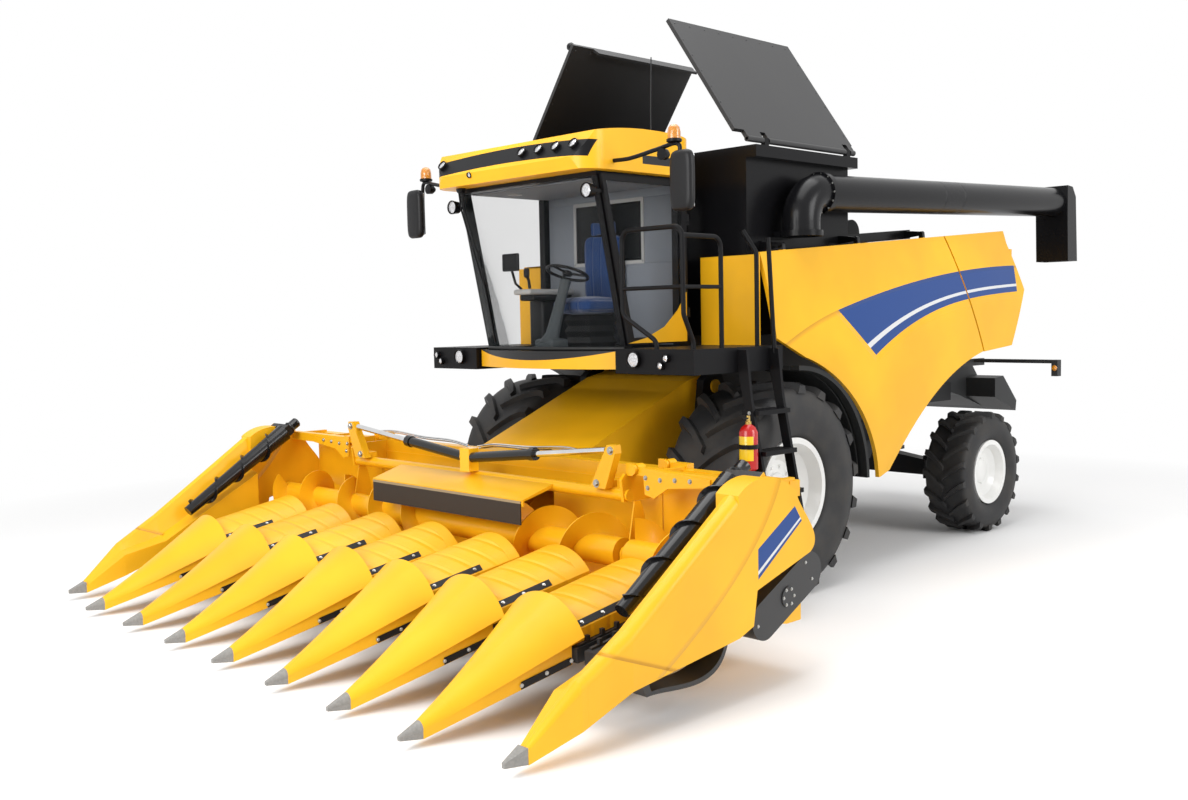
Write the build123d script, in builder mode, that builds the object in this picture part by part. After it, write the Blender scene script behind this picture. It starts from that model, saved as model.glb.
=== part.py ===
"""Self-propelled combine harvester with an eight-row folding maize header.

Drawn in millimetres from the front axle: +X is the machine's left, +Y its rear and +Z up, with the
floor at Z 0. save() moves each finished piece so that the origin lies on the floor under the middle.
"""

import os
from math import atan2, cos, pi, radians, sin, sqrt

from build123d import *

os.makedirs("parts", exist_ok=True)

# Overall reach from the front axle
TIP_REACH = 4460
TAIL_REACH = 5560
AXLE_Y = (TIP_REACH - TAIL_REACH) / 2

# Fits and running gaps
PIN_GAP = 0.3
RUN_GAP = 6

# Wheels
WHEELBASE = 3850
FRONT_TYRE_R = 920
FRONT_TYRE_W = 800
FRONT_RIM_R = 420
FRONT_WHEEL_X = 1380
REAR_TYRE_R = 655
REAR_TYRE_W = 500
REAR_RIM_R = 318
REAR_WHEEL_X = 1280
RIM_WALL = 22
RIM_FLANGE = 28
HUB_BORE_R = 95
LUGS = 18
LUG_ANGLE = 40
FRONT_LUG_H = 55
FRONT_LUG_W = 78
REAR_LUG_H = 42
REAR_LUG_W = 58
TYRE_SIDES = 2 * LUGS

# Rear axle
KINGPIN_X = 900
KINGPIN_R = 35
STEER_ARM = 260
TIE_PIN_R = 20
REAR_BEAM_H = 170
AXLE_PIN_R = 40

# Threshing body and frame
BODY_HALF_W = 720
BODY_TOP = 2240
RAIL_W = 80

# Feeder house, its pivot and its lift cylinders
FEEDER_HALF_W = 650
FEEDER_WALL = 30
FEEDER_PIVOT_Y = 50
FEEDER_PIVOT_Z = 1780
FEEDER_PIVOT_R = 60
FEEDER_FRONT_Y = -1650
LIFT_CYL_X = 500
LIFT_BASE_Y = -60
LIFT_BASE_Z = 690
LIFT_EYE_Y = -1150
LIFT_EYE_Z = 560
LIFT_PIN_R = 25
LIFT_EYE_GAP = 16
LIFT_BARREL_R = 60
LIFT_ROD_R = 35

# Maize header
ROW_SPACING = 750
ROWS = 8
WING_ROWS = 2
HEADER_HALF_W = 3150
SHIELD_X = 2970
FOLD_X = 1820
FOLD_Z = 1320
FOLD_PIN_R = 30
FOLD_GAP = 10
SNOUT_REAR_Y = -3400
SNOUT_FRONT_Y = -4320
SNOUT_HALF_W = 305
SNOUT_TOP = 640
SNOUT_SKIRT = 330
SHELL_WALL = 14
HOOD_REAR_Y = -2520
HOOD_REAR_TOP = 800
TIP_Z = 95
DECK_FRONT_Z = 430
DECK_REAR_Z = 545
AUGER_Y = -2150
AUGER_Z = 720
AUGER_TUBE_R = 110
AUGER_FLIGHT_R = 265
AUGER_PITCH = 500
FLIGHT_T = 10
STUB_R = 25
TROUGH_R = 310
SHEET_T = 20

# Grain tank and covers
TANK_HALF_W = 1400
TANK_BODY_HALF_W = 1290
TANK_FRONT_Y = -80
TANK_REAR_Y = 1450
TANK_TOP = 3860
TANK_WALL = 40
COVER_T = 36
COVER_LENGTH = 1350
COVER_ANGLE = 55
COVER_FRONT_Y = -300
COVER_REAR_Y = 1430
COVER_PIN_R = 14

# Unloading auger
SPOUT_X = 1490
SPOUT_Y = 430
UNLOAD_R = 165
UNLOAD_WALL = 12
UNLOAD_AXIS_Z = 3480
UNLOAD_RISE = 2
UNLOAD_SEAT_Z = 3140

# Cab
CAB_HALF_W = 890
CAB_REAR_Y = -400
CAB_FLOOR_Z = 2140
CAB_EAVE_Z = 3590
CAB_SILL_Y = -1180
CAB_BROW_Y = -1490
CAB_BULGE = 190
CAB_BROW_BULGE = 50
CAB_WALL = 50
GLASS_T = 8
ROOF_HALF_W = 1010
ROOF_TOP = 3940

# Platform and side panels
PLATFORM_Z = 2160
PLATFORM_H = 200
PLATFORM_HALF_W = 1750
PLATFORM_FRONT_Y = -1320
PANEL_T = 40
PANEL_HINGE_X = 1480
PANEL_FRONT_Y = -190
PANEL_REAR_Y = 4330


def save(piece, label):
    """Names a piece, moves it to the part's own origin and writes its STEP file."""
    placed = piece.moved(Location((0, AXLE_Y, 0)))
    placed.label = label
    export_step(placed, f"parts/{label}.step")


def save_pair(piece, label):
    """Writes the left piece and its mirror image on the right."""
    save(piece, f"left_{label}")
    save(mirror(piece, about=Plane.YZ), f"right_{label}")


def gather(pieces, label):
    """Writes several pieces of one body and finish as one named node."""
    save(Compound(children=pieces), label)


def both_sides(piece):
    """A left piece and its mirror image."""
    return [piece, mirror(piece, about=Plane.YZ)]


def across(x, y, z):
    """A sketch plane that faces +X at a point, with local x along +Y and local y along +Z."""
    return Plane((x, y, z), x_dir=(0, 1, 0), z_dir=(1, 0, 0))


def facing_front(y):
    """A sketch plane that faces forward, with local x along +X and local y along +Z."""
    return Plane((0, y, 0), x_dir=(1, 0, 0), z_dir=(0, -1, 0))


def deck_z(y):
    """Height of the row units' deck at a place along the rows."""
    share = (y - SNOUT_REAR_Y) / (HOOD_REAR_Y - SNOUT_REAR_Y)
    return DECK_FRONT_Z + share * (DECK_REAR_Z - DECK_FRONT_Z)


# Tyres: flat-sided rubber casings with slanted lugs that meet in arrows along the tread
def ring_section(hub, x, radius):
    """A many-sided section of the tyre, square to its axle, with one corner straight down."""
    with BuildSketch(hub.offset(x)) as section:
        RegularPolygon(radius, TYRE_SIDES, rotation=-90)
    return section.sketch


def tyre(centre_x, centre_y, radius, width, rim_r, lug_h, lug_w):
    half = width / 2
    casing_r = radius - lug_h
    bead_x = 0.78 * half
    shoulder_x = 0.84 * half
    corner = 1 / cos(radians(180 / TYRE_SIDES))
    bead_r = corner * (rim_r + RIM_FLANGE + PIN_GAP)
    hub = across(centre_x, centre_y, radius)
    with BuildPart() as lugs:
        for number in range(2 * LUGS):
            side = 1 if number % 2 else -1
            turn = radians(180 / LUGS * number)
            radial = (0, cos(turn), sin(turn))
            base_r = casing_r - lug_h
            base = (centre_x, centre_y + base_r * radial[1], radius + base_r * radial[2])
            slant = 0.5 * shoulder_x * sin(radians(LUG_ANGLE)) / cos(radians(LUG_ANGLE))
            with BuildSketch(Plane(base, x_dir=(1, 0, 0), z_dir=radial)):
                with BuildLine():
                    Polyline(
                        (-side * lug_w / 4, -slant - lug_w / 2),
                        (-side * lug_w / 4, -slant + lug_w / 2),
                        (side * shoulder_x, slant + lug_w / 2),
                        (side * 0.93 * half, slant),
                        (side * shoulder_x, slant - lug_w / 2),
                        close=True,
                    )
                make_face()
            extrude(amount=4 * lug_h)
        extrude(ring_section(hub, -half, radius), amount=width, mode=Mode.INTERSECT)
    with BuildPart() as casing:
        loft(
            [
                ring_section(hub, -bead_x, bead_r),
                ring_section(hub, -half, (rim_r + casing_r) / 2),
                ring_section(hub, -shoulder_x, casing_r),
                ring_section(hub, shoulder_x, casing_r),
                ring_section(hub, half, (rim_r + casing_r) / 2),
                ring_section(hub, bead_x, bead_r),
            ],
            ruled=True,
        )
        extrude(ring_section(hub, -half, corner * rim_r), amount=width, mode=Mode.SUBTRACT)
        add(lugs.part)
    return casing.part


# Rims: a flanged barrel with a dished disc that sits on the hub
def rim(centre_x, centre_y, centre_z, width, rim_r, disc_x):
    half = 0.39 * width
    inner = rim_r - RIM_WALL
    with BuildPart() as wheel:
        axis = Axis((centre_x, centre_y, centre_z), (1, 0, 0))
        with BuildSketch(Plane((centre_x, centre_y, centre_z), x_dir=(1, 0, 0), z_dir=(0, -1, 0))):
            with BuildLine():
                Polyline(
                    (-half - RIM_WALL, inner),
                    (-half - RIM_WALL, rim_r + RIM_FLANGE),
                    (-half, rim_r + RIM_FLANGE),
                    (-half, rim_r),
                    (half, rim_r),
                    (half, rim_r + RIM_FLANGE),
                    (half + RIM_WALL, rim_r + RIM_FLANGE),
                    (half + RIM_WALL, inner),
                    (disc_x + 0.55 * (half - disc_x), inner - 0.1 * rim_r),
                    (disc_x + 0.25 * (half - disc_x), 0.66 * rim_r),
                    (disc_x + RIM_WALL, 0.58 * rim_r),
                    (disc_x + RIM_WALL, HUB_BORE_R),
                    (disc_x - RIM_WALL, HUB_BORE_R),
                    (disc_x - RIM_WALL, 0.62 * rim_r),
                    (disc_x - RIM_WALL, inner - 0.05 * rim_r),
                    (disc_x - 2 * RIM_WALL, inner),
                    close=True,
                )
            make_face()
        revolve(axis=axis)
    return wheel.part


FRONT_DISC_X = 110
REAR_DISC_X = 60

save_pair(
    tyre(FRONT_WHEEL_X, 0, FRONT_TYRE_R, FRONT_TYRE_W, FRONT_RIM_R, FRONT_LUG_H, FRONT_LUG_W), "front_tyre"
)
save_pair(
    rim(FRONT_WHEEL_X, 0, FRONT_TYRE_R, FRONT_TYRE_W, FRONT_RIM_R, FRONT_DISC_X), "front_rim"
)
save_pair(
    tyre(REAR_WHEEL_X, WHEELBASE, REAR_TYRE_R, REAR_TYRE_W, REAR_RIM_R, REAR_LUG_H, REAR_LUG_W), "rear_tyre"
)
save_pair(
    rim(REAR_WHEEL_X, WHEELBASE, REAR_TYRE_R, REAR_TYRE_W, REAR_RIM_R, REAR_DISC_X), "rear_rim"
)

# Front drive axle: box beam, round final drives and the stub shafts that carry the wheels
FRONT_BEAM_H = 300
FINAL_DRIVE_R = 240
FINAL_DRIVE_X = 806
LIFT_LUG_T = 30
with BuildPart() as front_axle:
    with BuildSketch(across(-FINAL_DRIVE_X, 0, FRONT_TYRE_R)):
        RectangleRounded(260, FRONT_BEAM_H, 30)
    extrude(amount=2 * FINAL_DRIVE_X)
    for side in (1, -1):
        face = Plane((side * FINAL_DRIVE_X, 0, FRONT_TYRE_R), z_dir=(side, 0, 0))
        with BuildSketch(face):
            Circle(FINAL_DRIVE_R)
        extrude(amount=FRONT_WHEEL_X - FRONT_TYRE_W / 2 - FINAL_DRIVE_X + 60)
        with BuildSketch(face):
            Circle(HUB_BORE_R + 60)
        extrude(amount=FRONT_WHEEL_X + FRONT_DISC_X - RIM_WALL - PIN_GAP - FINAL_DRIVE_X)
        with BuildSketch(face):
            Circle(HUB_BORE_R - PIN_GAP)
        extrude(amount=FRONT_WHEEL_X + FRONT_DISC_X + 2 * RIM_WALL - FINAL_DRIVE_X)
    # Ears under the beam hold the lift cylinders' base pins
    for x in (-LIFT_CYL_X, LIFT_CYL_X):
        for ear in (-1, 1):
            with BuildSketch(across(x + ear * (LIFT_BARREL_R + RUN_GAP + LIFT_LUG_T / 2), 0, 0)):
                with BuildLine():
                    Polyline(
                        (-130, FRONT_TYRE_R - 100),
                        (LIFT_BASE_Y - 60, LIFT_BASE_Z),
                        (LIFT_BASE_Y, LIFT_BASE_Z - 60),
                        (LIFT_BASE_Y + 60, LIFT_BASE_Z),
                        (130, FRONT_TYRE_R - 100),
                        close=True,
                    )
                make_face()
            extrude(amount=LIFT_LUG_T / 2, both=True)
        with BuildSketch(across(x, LIFT_BASE_Y, LIFT_BASE_Z)):
            Circle(LIFT_PIN_R)
        extrude(amount=LIFT_BARREL_R + RUN_GAP + LIFT_LUG_T, both=True)
save(front_axle.part, "front_axle")

# Main frame: side rails that rise over the rear axle, cross members and the rear axle's cradle
RAIL_Z = 1070
RAIL_H = 200
RAIL_KICK = 320
with BuildPart() as main_frame:
    for side in (1, -1):
        x = side * (BODY_HALF_W + RAIL_W / 2)
        with BuildSketch(across(x, 0, 0)):
            with BuildLine():
                Polyline(
                    (-180, RAIL_Z),
                    (2780, RAIL_Z),
                    (3080, RAIL_Z + RAIL_KICK),
                    (4250, RAIL_Z + RAIL_KICK),
                    (4250, RAIL_Z + RAIL_KICK + RAIL_H),
                    (3000, RAIL_Z + RAIL_KICK + RAIL_H),
                    (2700, RAIL_Z + RAIL_H),
                    (-180, RAIL_Z + RAIL_H),
                    close=True,
                )
            make_face()
        extrude(amount=RAIL_W / 2, both=True)
        # Brackets that hold the ends of the feeder house's pivot shaft
        with BuildSketch(across(x, 0, 0)):
            with BuildLine():
                Polyline(
                    (-180, RAIL_Z + RAIL_H),
                    (-100, FEEDER_PIVOT_Z + 60),
                    (0, FEEDER_PIVOT_Z + 130),
                    (140, FEEDER_PIVOT_Z + 130),
                    (420, RAIL_Z + RAIL_H),
                    close=True,
                )
            make_face()
            with Locations((FEEDER_PIVOT_Y, FEEDER_PIVOT_Z)):
                Circle(FEEDER_PIVOT_R + PIN_GAP, mode=Mode.SUBTRACT)
        extrude(amount=RAIL_W / 2, both=True)
    # The front cross member stands on the drive axle
    with Locations((0, 0, RAIL_Z + 35)):
        Box(2 * BODY_HALF_W, 240, 2 * (RAIL_Z + 35 - FRONT_TYRE_R - FRONT_BEAM_H / 2))
    # The cradle over the rear axle
    with Locations((0, WHEELBASE, RAIL_Z + RAIL_KICK + 60)):
        Box(2 * BODY_HALF_W, 300, 120)
    for y in (WHEELBASE - 130, WHEELBASE + 130):
        with Locations((0, y, REAR_TYRE_R + 380)):
            Box(300, 40, 2 * (RAIL_Z + RAIL_KICK + 10 - REAR_TYRE_R - 380))
    with BuildSketch(facing_front(WHEELBASE + 160)):
        with Locations((0, REAR_TYRE_R + REAR_BEAM_H / 2 + 20)):
            Circle(AXLE_PIN_R + PIN_GAP)
    extrude(amount=320, mode=Mode.SUBTRACT)

# Rear steering axle: a tapered beam on a centre pin, with forked ends round the kingpins
FORK_H = 50
FORK_REACH = 200
BEAM_END_X = KINGPIN_X - 150
KNUCKLE_H = 150
with BuildPart() as rear_axle:
    with BuildSketch(facing_front(WHEELBASE + 90)):
        with BuildLine():
            Polyline(
                (-BEAM_END_X, REAR_TYRE_R - REAR_BEAM_H / 2),
                (-BEAM_END_X, REAR_TYRE_R + REAR_BEAM_H / 2),
                (-150, REAR_TYRE_R + REAR_BEAM_H),
                (150, REAR_TYRE_R + REAR_BEAM_H),
                (BEAM_END_X, REAR_TYRE_R + REAR_BEAM_H / 2),
                (BEAM_END_X, REAR_TYRE_R - REAR_BEAM_H / 2),
                close=True,
            )
        make_face()
    extrude(amount=180)
    for side in (1, -1):
        for z in (REAR_TYRE_R + KNUCKLE_H / 2 + RUN_GAP, REAR_TYRE_R - KNUCKLE_H / 2 - RUN_GAP - FORK_H):
            with BuildSketch(Plane.XY.offset(z)):
                with Locations((side * (KINGPIN_X + 20 - FORK_REACH / 2), WHEELBASE)):
                    Rectangle(FORK_REACH, 150)
                with Locations((side * KINGPIN_X, WHEELBASE)):
                    Circle(75)
                    Circle(KINGPIN_R + PIN_GAP, mode=Mode.SUBTRACT)
            extrude(amount=FORK_H)
    # The oscillation pin through the cradle's two plates
    with BuildSketch(facing_front(WHEELBASE + 150)):
        with Locations((0, REAR_TYRE_R + REAR_BEAM_H / 2 + 20)):
            Circle(AXLE_PIN_R)
    extrude(amount=300)
save(rear_axle.part, "rear_axle")

# Steering knuckles: a block on the kingpin, the wheel spindle and the steering arm with its tie pin
with BuildPart() as knuckle:
    with Locations((KINGPIN_X, WHEELBASE, REAR_TYRE_R)):
        Cylinder(72, KNUCKLE_H)
        Cylinder(KINGPIN_R, KNUCKLE_H + 2 * (RUN_GAP + FORK_H + 12))
    with BuildSketch(across(KINGPIN_X, WHEELBASE, REAR_TYRE_R)):
        Circle(60)
    extrude(amount=REAR_WHEEL_X + REAR_DISC_X - RIM_WALL - PIN_GAP - KINGPIN_X)
    with BuildSketch(across(REAR_WHEEL_X, WHEELBASE, REAR_TYRE_R)):
        Circle(HUB_BORE_R + 40)
    extrude(amount=REAR_DISC_X - RIM_WALL - PIN_GAP)
    with BuildSketch(across(REAR_WHEEL_X, WHEELBASE, REAR_TYRE_R)):
        Circle(HUB_BORE_R - PIN_GAP)
    extrude(amount=REAR_DISC_X + 2 * RIM_WALL)
    with BuildSketch(Plane.XY.offset(REAR_TYRE_R - 60)):
        with Locations((KINGPIN_X, WHEELBASE + STEER_ARM / 2)):
            Rectangle(70, STEER_ARM)
        with Locations((KINGPIN_X, WHEELBASE + STEER_ARM)):
            Circle(45)
    extrude(amount=50)
    with BuildSketch(Plane.XY.offset(REAR_TYRE_R - 130)):
        with Locations((KINGPIN_X, WHEELBASE + STEER_ARM)):
            Circle(TIE_PIN_R)
    extrude(amount=100)
save_pair(knuckle.part, "rear_knuckle")

# Tie rod: a round bar with an eye on each knuckle's pin
with BuildPart() as tie_rod:
    eye_z = REAR_TYRE_R - 60 - PIN_GAP - 44
    with BuildSketch(Plane.XY.offset(eye_z)):
        for side in (1, -1):
            with Locations((side * KINGPIN_X, WHEELBASE + STEER_ARM)):
                Circle(42)
                Circle(TIE_PIN_R + PIN_GAP, mode=Mode.SUBTRACT)
    extrude(amount=44)
    with BuildSketch(across(-KINGPIN_X + 36, WHEELBASE + STEER_ARM, eye_z + 22)):
        Circle(20)
    extrude(amount=2 * (KINGPIN_X - 36))
save(tie_rod.part, "tie_rod")

# Threshing and cleaning body: one closed housing between the frame rails
with BuildPart() as body:
    with BuildSketch(across(-BODY_HALF_W, 0, 0)):
        with BuildLine():
            Polyline(
                (200, BODY_TOP),
                (200, 1960),
                (260, 1700),
                (260, 1300),
                (700, 1000),
                (1300, 860),
                (2700, 860),
                (3060, 1420),
                (3640, RAIL_Z + RAIL_KICK + 130),
                (4150, RAIL_Z + RAIL_KICK + 130),
                (4300, 1900),
                (4300, BODY_TOP),
                close=True,
            )
        make_face()
    extrude(amount=2 * BODY_HALF_W)
save(body.part, "threshing_body")

# Engine: a plain block behind the tank, with its air cleaner and exhaust on top
ENGINE_Y = 2230
ENGINE_TOP = 3040
with BuildPart() as engine:
    with Locations((0, ENGINE_Y, (BODY_TOP + ENGINE_TOP) / 2)):
        Box(1500, 1000, ENGINE_TOP - BODY_TOP)

with BuildPart() as engine_deck:
    with BuildSketch(Plane.XY.offset(ENGINE_TOP)):
        with Locations((0, (TANK_REAR_Y + 4130) / 2)):
            Rectangle(2 * 1280, 4130 - TANK_REAR_Y)
    extrude(amount=50)
    with BuildSketch(across(350, 2000, ENGINE_TOP + 170)):
        Circle(130)
    extrude(amount=620)
    with BuildSketch(Plane.XY.offset(ENGINE_TOP + 50)):
        with Locations((-500, 1800)):
            Circle(75)
    extrude(amount=420)
    with Locations((-700, 2700, ENGINE_TOP + 50 + 110)):
        Box(1100, 900, 220)
gather([engine.part, engine_deck.part], "engine")

# Grain tank: an open hopper with sloping inner walls
TANK_FLOOR = 2440
with BuildPart() as tank:
    tank_mid_y = (TANK_FRONT_Y + TANK_REAR_Y) / 2
    tank_len = TANK_REAR_Y - TANK_FRONT_Y
    with BuildSketch(Plane.XY.offset(BODY_TOP)):
        with Locations((0, tank_mid_y)):
            Rectangle(2 * TANK_BODY_HALF_W, tank_len)
    extrude(amount=TANK_TOP - BODY_TOP)
    with Locations((0, tank_mid_y, TANK_TOP - 50)):
        Box(2 * TANK_HALF_W, tank_len, 100)
    with BuildSketch(Plane.XY.offset(TANK_TOP)):
        with Locations((0, tank_mid_y)):
            Rectangle(2 * (TANK_BODY_HALF_W - TANK_WALL), tank_len - 2 * TANK_WALL)
    with BuildSketch(Plane.XY.offset(3000)):
        with Locations((0, tank_mid_y)):
            Rectangle(2 * (TANK_BODY_HALF_W - TANK_WALL), tank_len - 2 * TANK_WALL)
    loft(ruled=True, mode=Mode.SUBTRACT)
    with BuildSketch(Plane.XY.offset(3000)):
        with Locations((0, tank_mid_y)):
            Rectangle(2 * (TANK_BODY_HALF_W - TANK_WALL), tank_len - 2 * TANK_WALL)
    with BuildSketch(Plane.XY.offset(TANK_FLOOR)):
        with Locations((0, tank_mid_y)):
            Rectangle(900, 420)
    loft(ruled=True, mode=Mode.SUBTRACT)
    # Ears along the top edge carry the covers' pins
    for side in (1, -1):
        for y in (TANK_FRONT_Y + 150, TANK_REAR_Y - 150):
            with Locations((side * (TANK_HALF_W - 20), y, TANK_TOP + 25)):
                Box(40, 60, 70)
            with BuildSketch(Plane((side * (TANK_HALF_W - 20), y - 80, TANK_TOP + 40), z_dir=(0, 1, 0))):
                Circle(COVER_PIN_R)
            extrude(amount=160)

# Unloading auger: a bent pipe on the tank's left side, and the long tube that swings with its spout
with BuildPart() as spout_base:
    with BuildSketch(Plane.XY.offset(UNLOAD_SEAT_Z)):
        with Locations((SPOUT_X, SPOUT_Y)):
            Circle(UNLOAD_R + 25)
        with Locations(((SPOUT_X + TANK_BODY_HALF_W) / 2, SPOUT_Y)):
            Rectangle(SPOUT_X - TANK_BODY_HALF_W, 1.6 * UNLOAD_R)
        with Locations((SPOUT_X, SPOUT_Y)):
            Circle(UNLOAD_R - UNLOAD_WALL, mode=Mode.SUBTRACT)
    extrude(amount=-50)

UNLOAD_END_Y = TAIL_REACH - 260
UNLOAD_BEND = 260
rise = radians(UNLOAD_RISE)
BEND_END_Y = SPOUT_Y + UNLOAD_BEND * (1 - sin(rise))
BEND_END_Z = UNLOAD_AXIS_Z - UNLOAD_BEND * (1 - cos(rise))
with BuildPart() as unload_tube:
    foot = (SPOUT_X, SPOUT_Y, UNLOAD_SEAT_Z + PIN_GAP)
    bend_end = (SPOUT_X, BEND_END_Y, BEND_END_Z)
    reach = UNLOAD_END_Y + 14 - BEND_END_Y
    with BuildLine():
        lower = Line(foot, (SPOUT_X, SPOUT_Y, UNLOAD_AXIS_Z - UNLOAD_BEND))
        bend = TangentArc(lower @ 1, bend_end, tangent=(0, 0, 1))
        Line(bend_end, (SPOUT_X, BEND_END_Y + reach, BEND_END_Z + reach * sin(rise) / cos(rise)))
    with BuildSketch(Plane(foot)):
        Circle(UNLOAD_R)
        Circle(UNLOAD_R - UNLOAD_WALL, mode=Mode.SUBTRACT)
    sweep()
    # A bolted collar where the elbow ends
    with BuildSketch(Plane(bend_end, x_dir=(1, 0, 0), z_dir=(0, cos(rise), sin(rise)))):
        Circle(UNLOAD_R + 22)
        Circle(UNLOAD_R - UNLOAD_WALL / 2, mode=Mode.SUBTRACT)
    extrude(amount=60)

SPOUT_TOP_Z = BEND_END_Z + (UNLOAD_END_Y - BEND_END_Y) * sin(rise) / cos(rise)
with BuildPart() as spout:
    with BuildSketch(across(SPOUT_X - UNLOAD_R - 25, 0, 0)):
        with BuildLine():
            Polyline(
                (UNLOAD_END_Y + 2, SPOUT_TOP_Z - UNLOAD_R - 10),
                (UNLOAD_END_Y + 2, SPOUT_TOP_Z + UNLOAD_R + 15),
                (UNLOAD_END_Y + 130, SPOUT_TOP_Z + UNLOAD_R + 5),
                (UNLOAD_END_Y + 215, SPOUT_TOP_Z + 60),
                (TAIL_REACH, 2960),
                (UNLOAD_END_Y + 20, 2960),
                close=True,
            )
        make_face()
    extrude(amount=2 * (UNLOAD_R + 25))
    with BuildSketch(across(SPOUT_X - UNLOAD_R - 13, 0, 0)):
        with BuildLine():
            Polyline(
                (UNLOAD_END_Y + 14, SPOUT_TOP_Z - UNLOAD_R - 10),
                (UNLOAD_END_Y + 14, SPOUT_TOP_Z + UNLOAD_R),
                (UNLOAD_END_Y + 120, SPOUT_TOP_Z + UNLOAD_R - 8),
                (UNLOAD_END_Y + 200, SPOUT_TOP_Z + 55),
                (TAIL_REACH - 14, 2950),
                (UNLOAD_END_Y + 34, 2950),
                close=True,
            )
        make_face()
    extrude(amount=2 * (UNLOAD_R + 13), mode=Mode.SUBTRACT)
    with BuildSketch(facing_front(UNLOAD_END_Y + 60)):
        with Locations((SPOUT_X, SPOUT_TOP_Z)):
            Circle(UNLOAD_R - UNLOAD_WALL / 2)
    extrude(amount=100, mode=Mode.SUBTRACT)
with BuildPart() as unload_auger:
    add(unload_tube.part)
    add(spout.part)
save(unload_auger.part, "unload_auger")

# Tank covers: ribbed plates that lean inwards when open, on tubes along the tank's outer edges
COVER_PIN_X = TANK_HALF_W - 20
COVER_PIN_Z = TANK_TOP + 40
COVER_TUBE_R = 26
EAR_W = 60
EAR_YS = (TANK_FRONT_Y + 150, TANK_REAR_Y - 150)
with BuildPart() as cover:
    lean = radians(COVER_ANGLE)
    flat = Plane(
        (COVER_PIN_X, COVER_FRONT_Y, COVER_PIN_Z), x_dir=(-cos(lean), 0, sin(lean)), z_dir=(0, 1, 0)
    )
    with BuildSketch(flat):
        with Locations((COVER_LENGTH / 2 + 40, 0)):
            Rectangle(COVER_LENGTH - 80, COVER_T)
    extrude(amount=COVER_REAR_Y - COVER_FRONT_Y)
    # The folded lip hangs between the tank's end walls when the cover is shut
    lip_start = TANK_FRONT_Y + TANK_WALL + RUN_GAP
    with BuildSketch(Plane((COVER_PIN_X, lip_start, COVER_PIN_Z), x_dir=flat.x_dir, z_dir=(0, 1, 0))):
        with Locations((COVER_LENGTH - 12, -45)):
            Rectangle(24, 126)
    extrude(amount=TANK_REAR_Y - TANK_WALL - RUN_GAP - lip_start)
    stops = (
        (COVER_FRONT_Y + 120, EAR_YS[0] - EAR_W / 2 - RUN_GAP),
        (EAR_YS[0] + EAR_W / 2 + RUN_GAP, EAR_YS[1] - EAR_W / 2 - RUN_GAP),
        (EAR_YS[1] + EAR_W / 2 + RUN_GAP, COVER_REAR_Y - 20),
    )
    for start, stop in stops:
        with BuildSketch(Plane((COVER_PIN_X, start, COVER_PIN_Z), x_dir=flat.x_dir, z_dir=(0, 1, 0))):
            Circle(COVER_TUBE_R)
            with Locations((55, 0)):
                Rectangle(110, COVER_T)
            Circle(COVER_PIN_R + PIN_GAP, mode=Mode.SUBTRACT)
        extrude(amount=stop - start)
save_pair(cover.part, "tank_cover")

# Cab frame: floor, rear wall, four pillars and the ring under the roof
with BuildPart() as cab:
    with BuildSketch(Plane.XY.offset(CAB_FLOOR_Z - CAB_WALL)):
        with BuildLine():
            Polyline(
                (CAB_HALF_W, CAB_SILL_Y),
                (CAB_HALF_W, CAB_REAR_Y),
                (-CAB_HALF_W, CAB_REAR_Y),
                (-CAB_HALF_W, CAB_SILL_Y),
            )
            ThreePointArc((-CAB_HALF_W, CAB_SILL_Y), (0, CAB_SILL_Y - CAB_BULGE), (CAB_HALF_W, CAB_SILL_Y))
        make_face()
    extrude(amount=CAB_WALL)
    with BuildSketch(facing_front(CAB_REAR_Y)):
        with Locations((0, (CAB_FLOOR_Z - 10 + CAB_EAVE_Z) / 2)):
            Rectangle(2 * CAB_HALF_W, CAB_EAVE_Z - CAB_FLOOR_Z + 10)
        with Locations((0, 3220)):
            RectangleRounded(1300, 560, 60, mode=Mode.SUBTRACT)
    extrude(amount=CAB_WALL)
    for side in (1, -1):
        with Locations((side * (CAB_HALF_W - 35), CAB_REAR_Y - 60, (CAB_FLOOR_Z - 10 + CAB_EAVE_Z) / 2)):
            Box(70, 120, CAB_EAVE_Z - CAB_FLOOR_Z + 10)
        with BuildSketch(Plane.XY.offset(CAB_FLOOR_Z - 10)):
            with Locations((side * (CAB_HALF_W - 32), CAB_SILL_Y + 45)):
                Rectangle(64, 80)
        with BuildSketch(Plane.XY.offset(CAB_EAVE_Z)):
            with Locations((side * (CAB_HALF_W - 32), CAB_BROW_Y + 45)):
                Rectangle(64, 80)
        loft(ruled=True)
    with BuildSketch(Plane.XY.offset(CAB_EAVE_Z - 40)):
        with Locations((0, (CAB_BROW_Y + CAB_REAR_Y) / 2)):
            Rectangle(2 * CAB_HALF_W, CAB_REAR_Y - CAB_BROW_Y)
            Rectangle(2 * CAB_HALF_W - 160, CAB_REAR_Y - CAB_BROW_Y - 160, mode=Mode.SUBTRACT)
    extrude(amount=40)
    # Pins on the left rear pillar for the door's two hinges
    for z in (2420, 3220):
        with Locations((CAB_HALF_W + 6, CAB_REAR_Y - 22, z)):
            Box(48, 36, 30)
        with Locations((CAB_HALF_W + 22, CAB_REAR_Y - 22, z + 35)):
            Cylinder(9, 70)

# Cab glass: a bowed windscreen, the right side pane and the rear pane
def bow(z, y, bulge):
    """A flat section of the cab's front: the windscreen's bow, closed by a straight chord."""
    half = CAB_HALF_W - 4
    with BuildSketch(Plane.XY.offset(z)) as section:
        with BuildLine():
            ThreePointArc((-half, y), (0, y - bulge), (half, y))
            Line((half, y), (-half, y))
        make_face()
    return section.sketch


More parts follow.
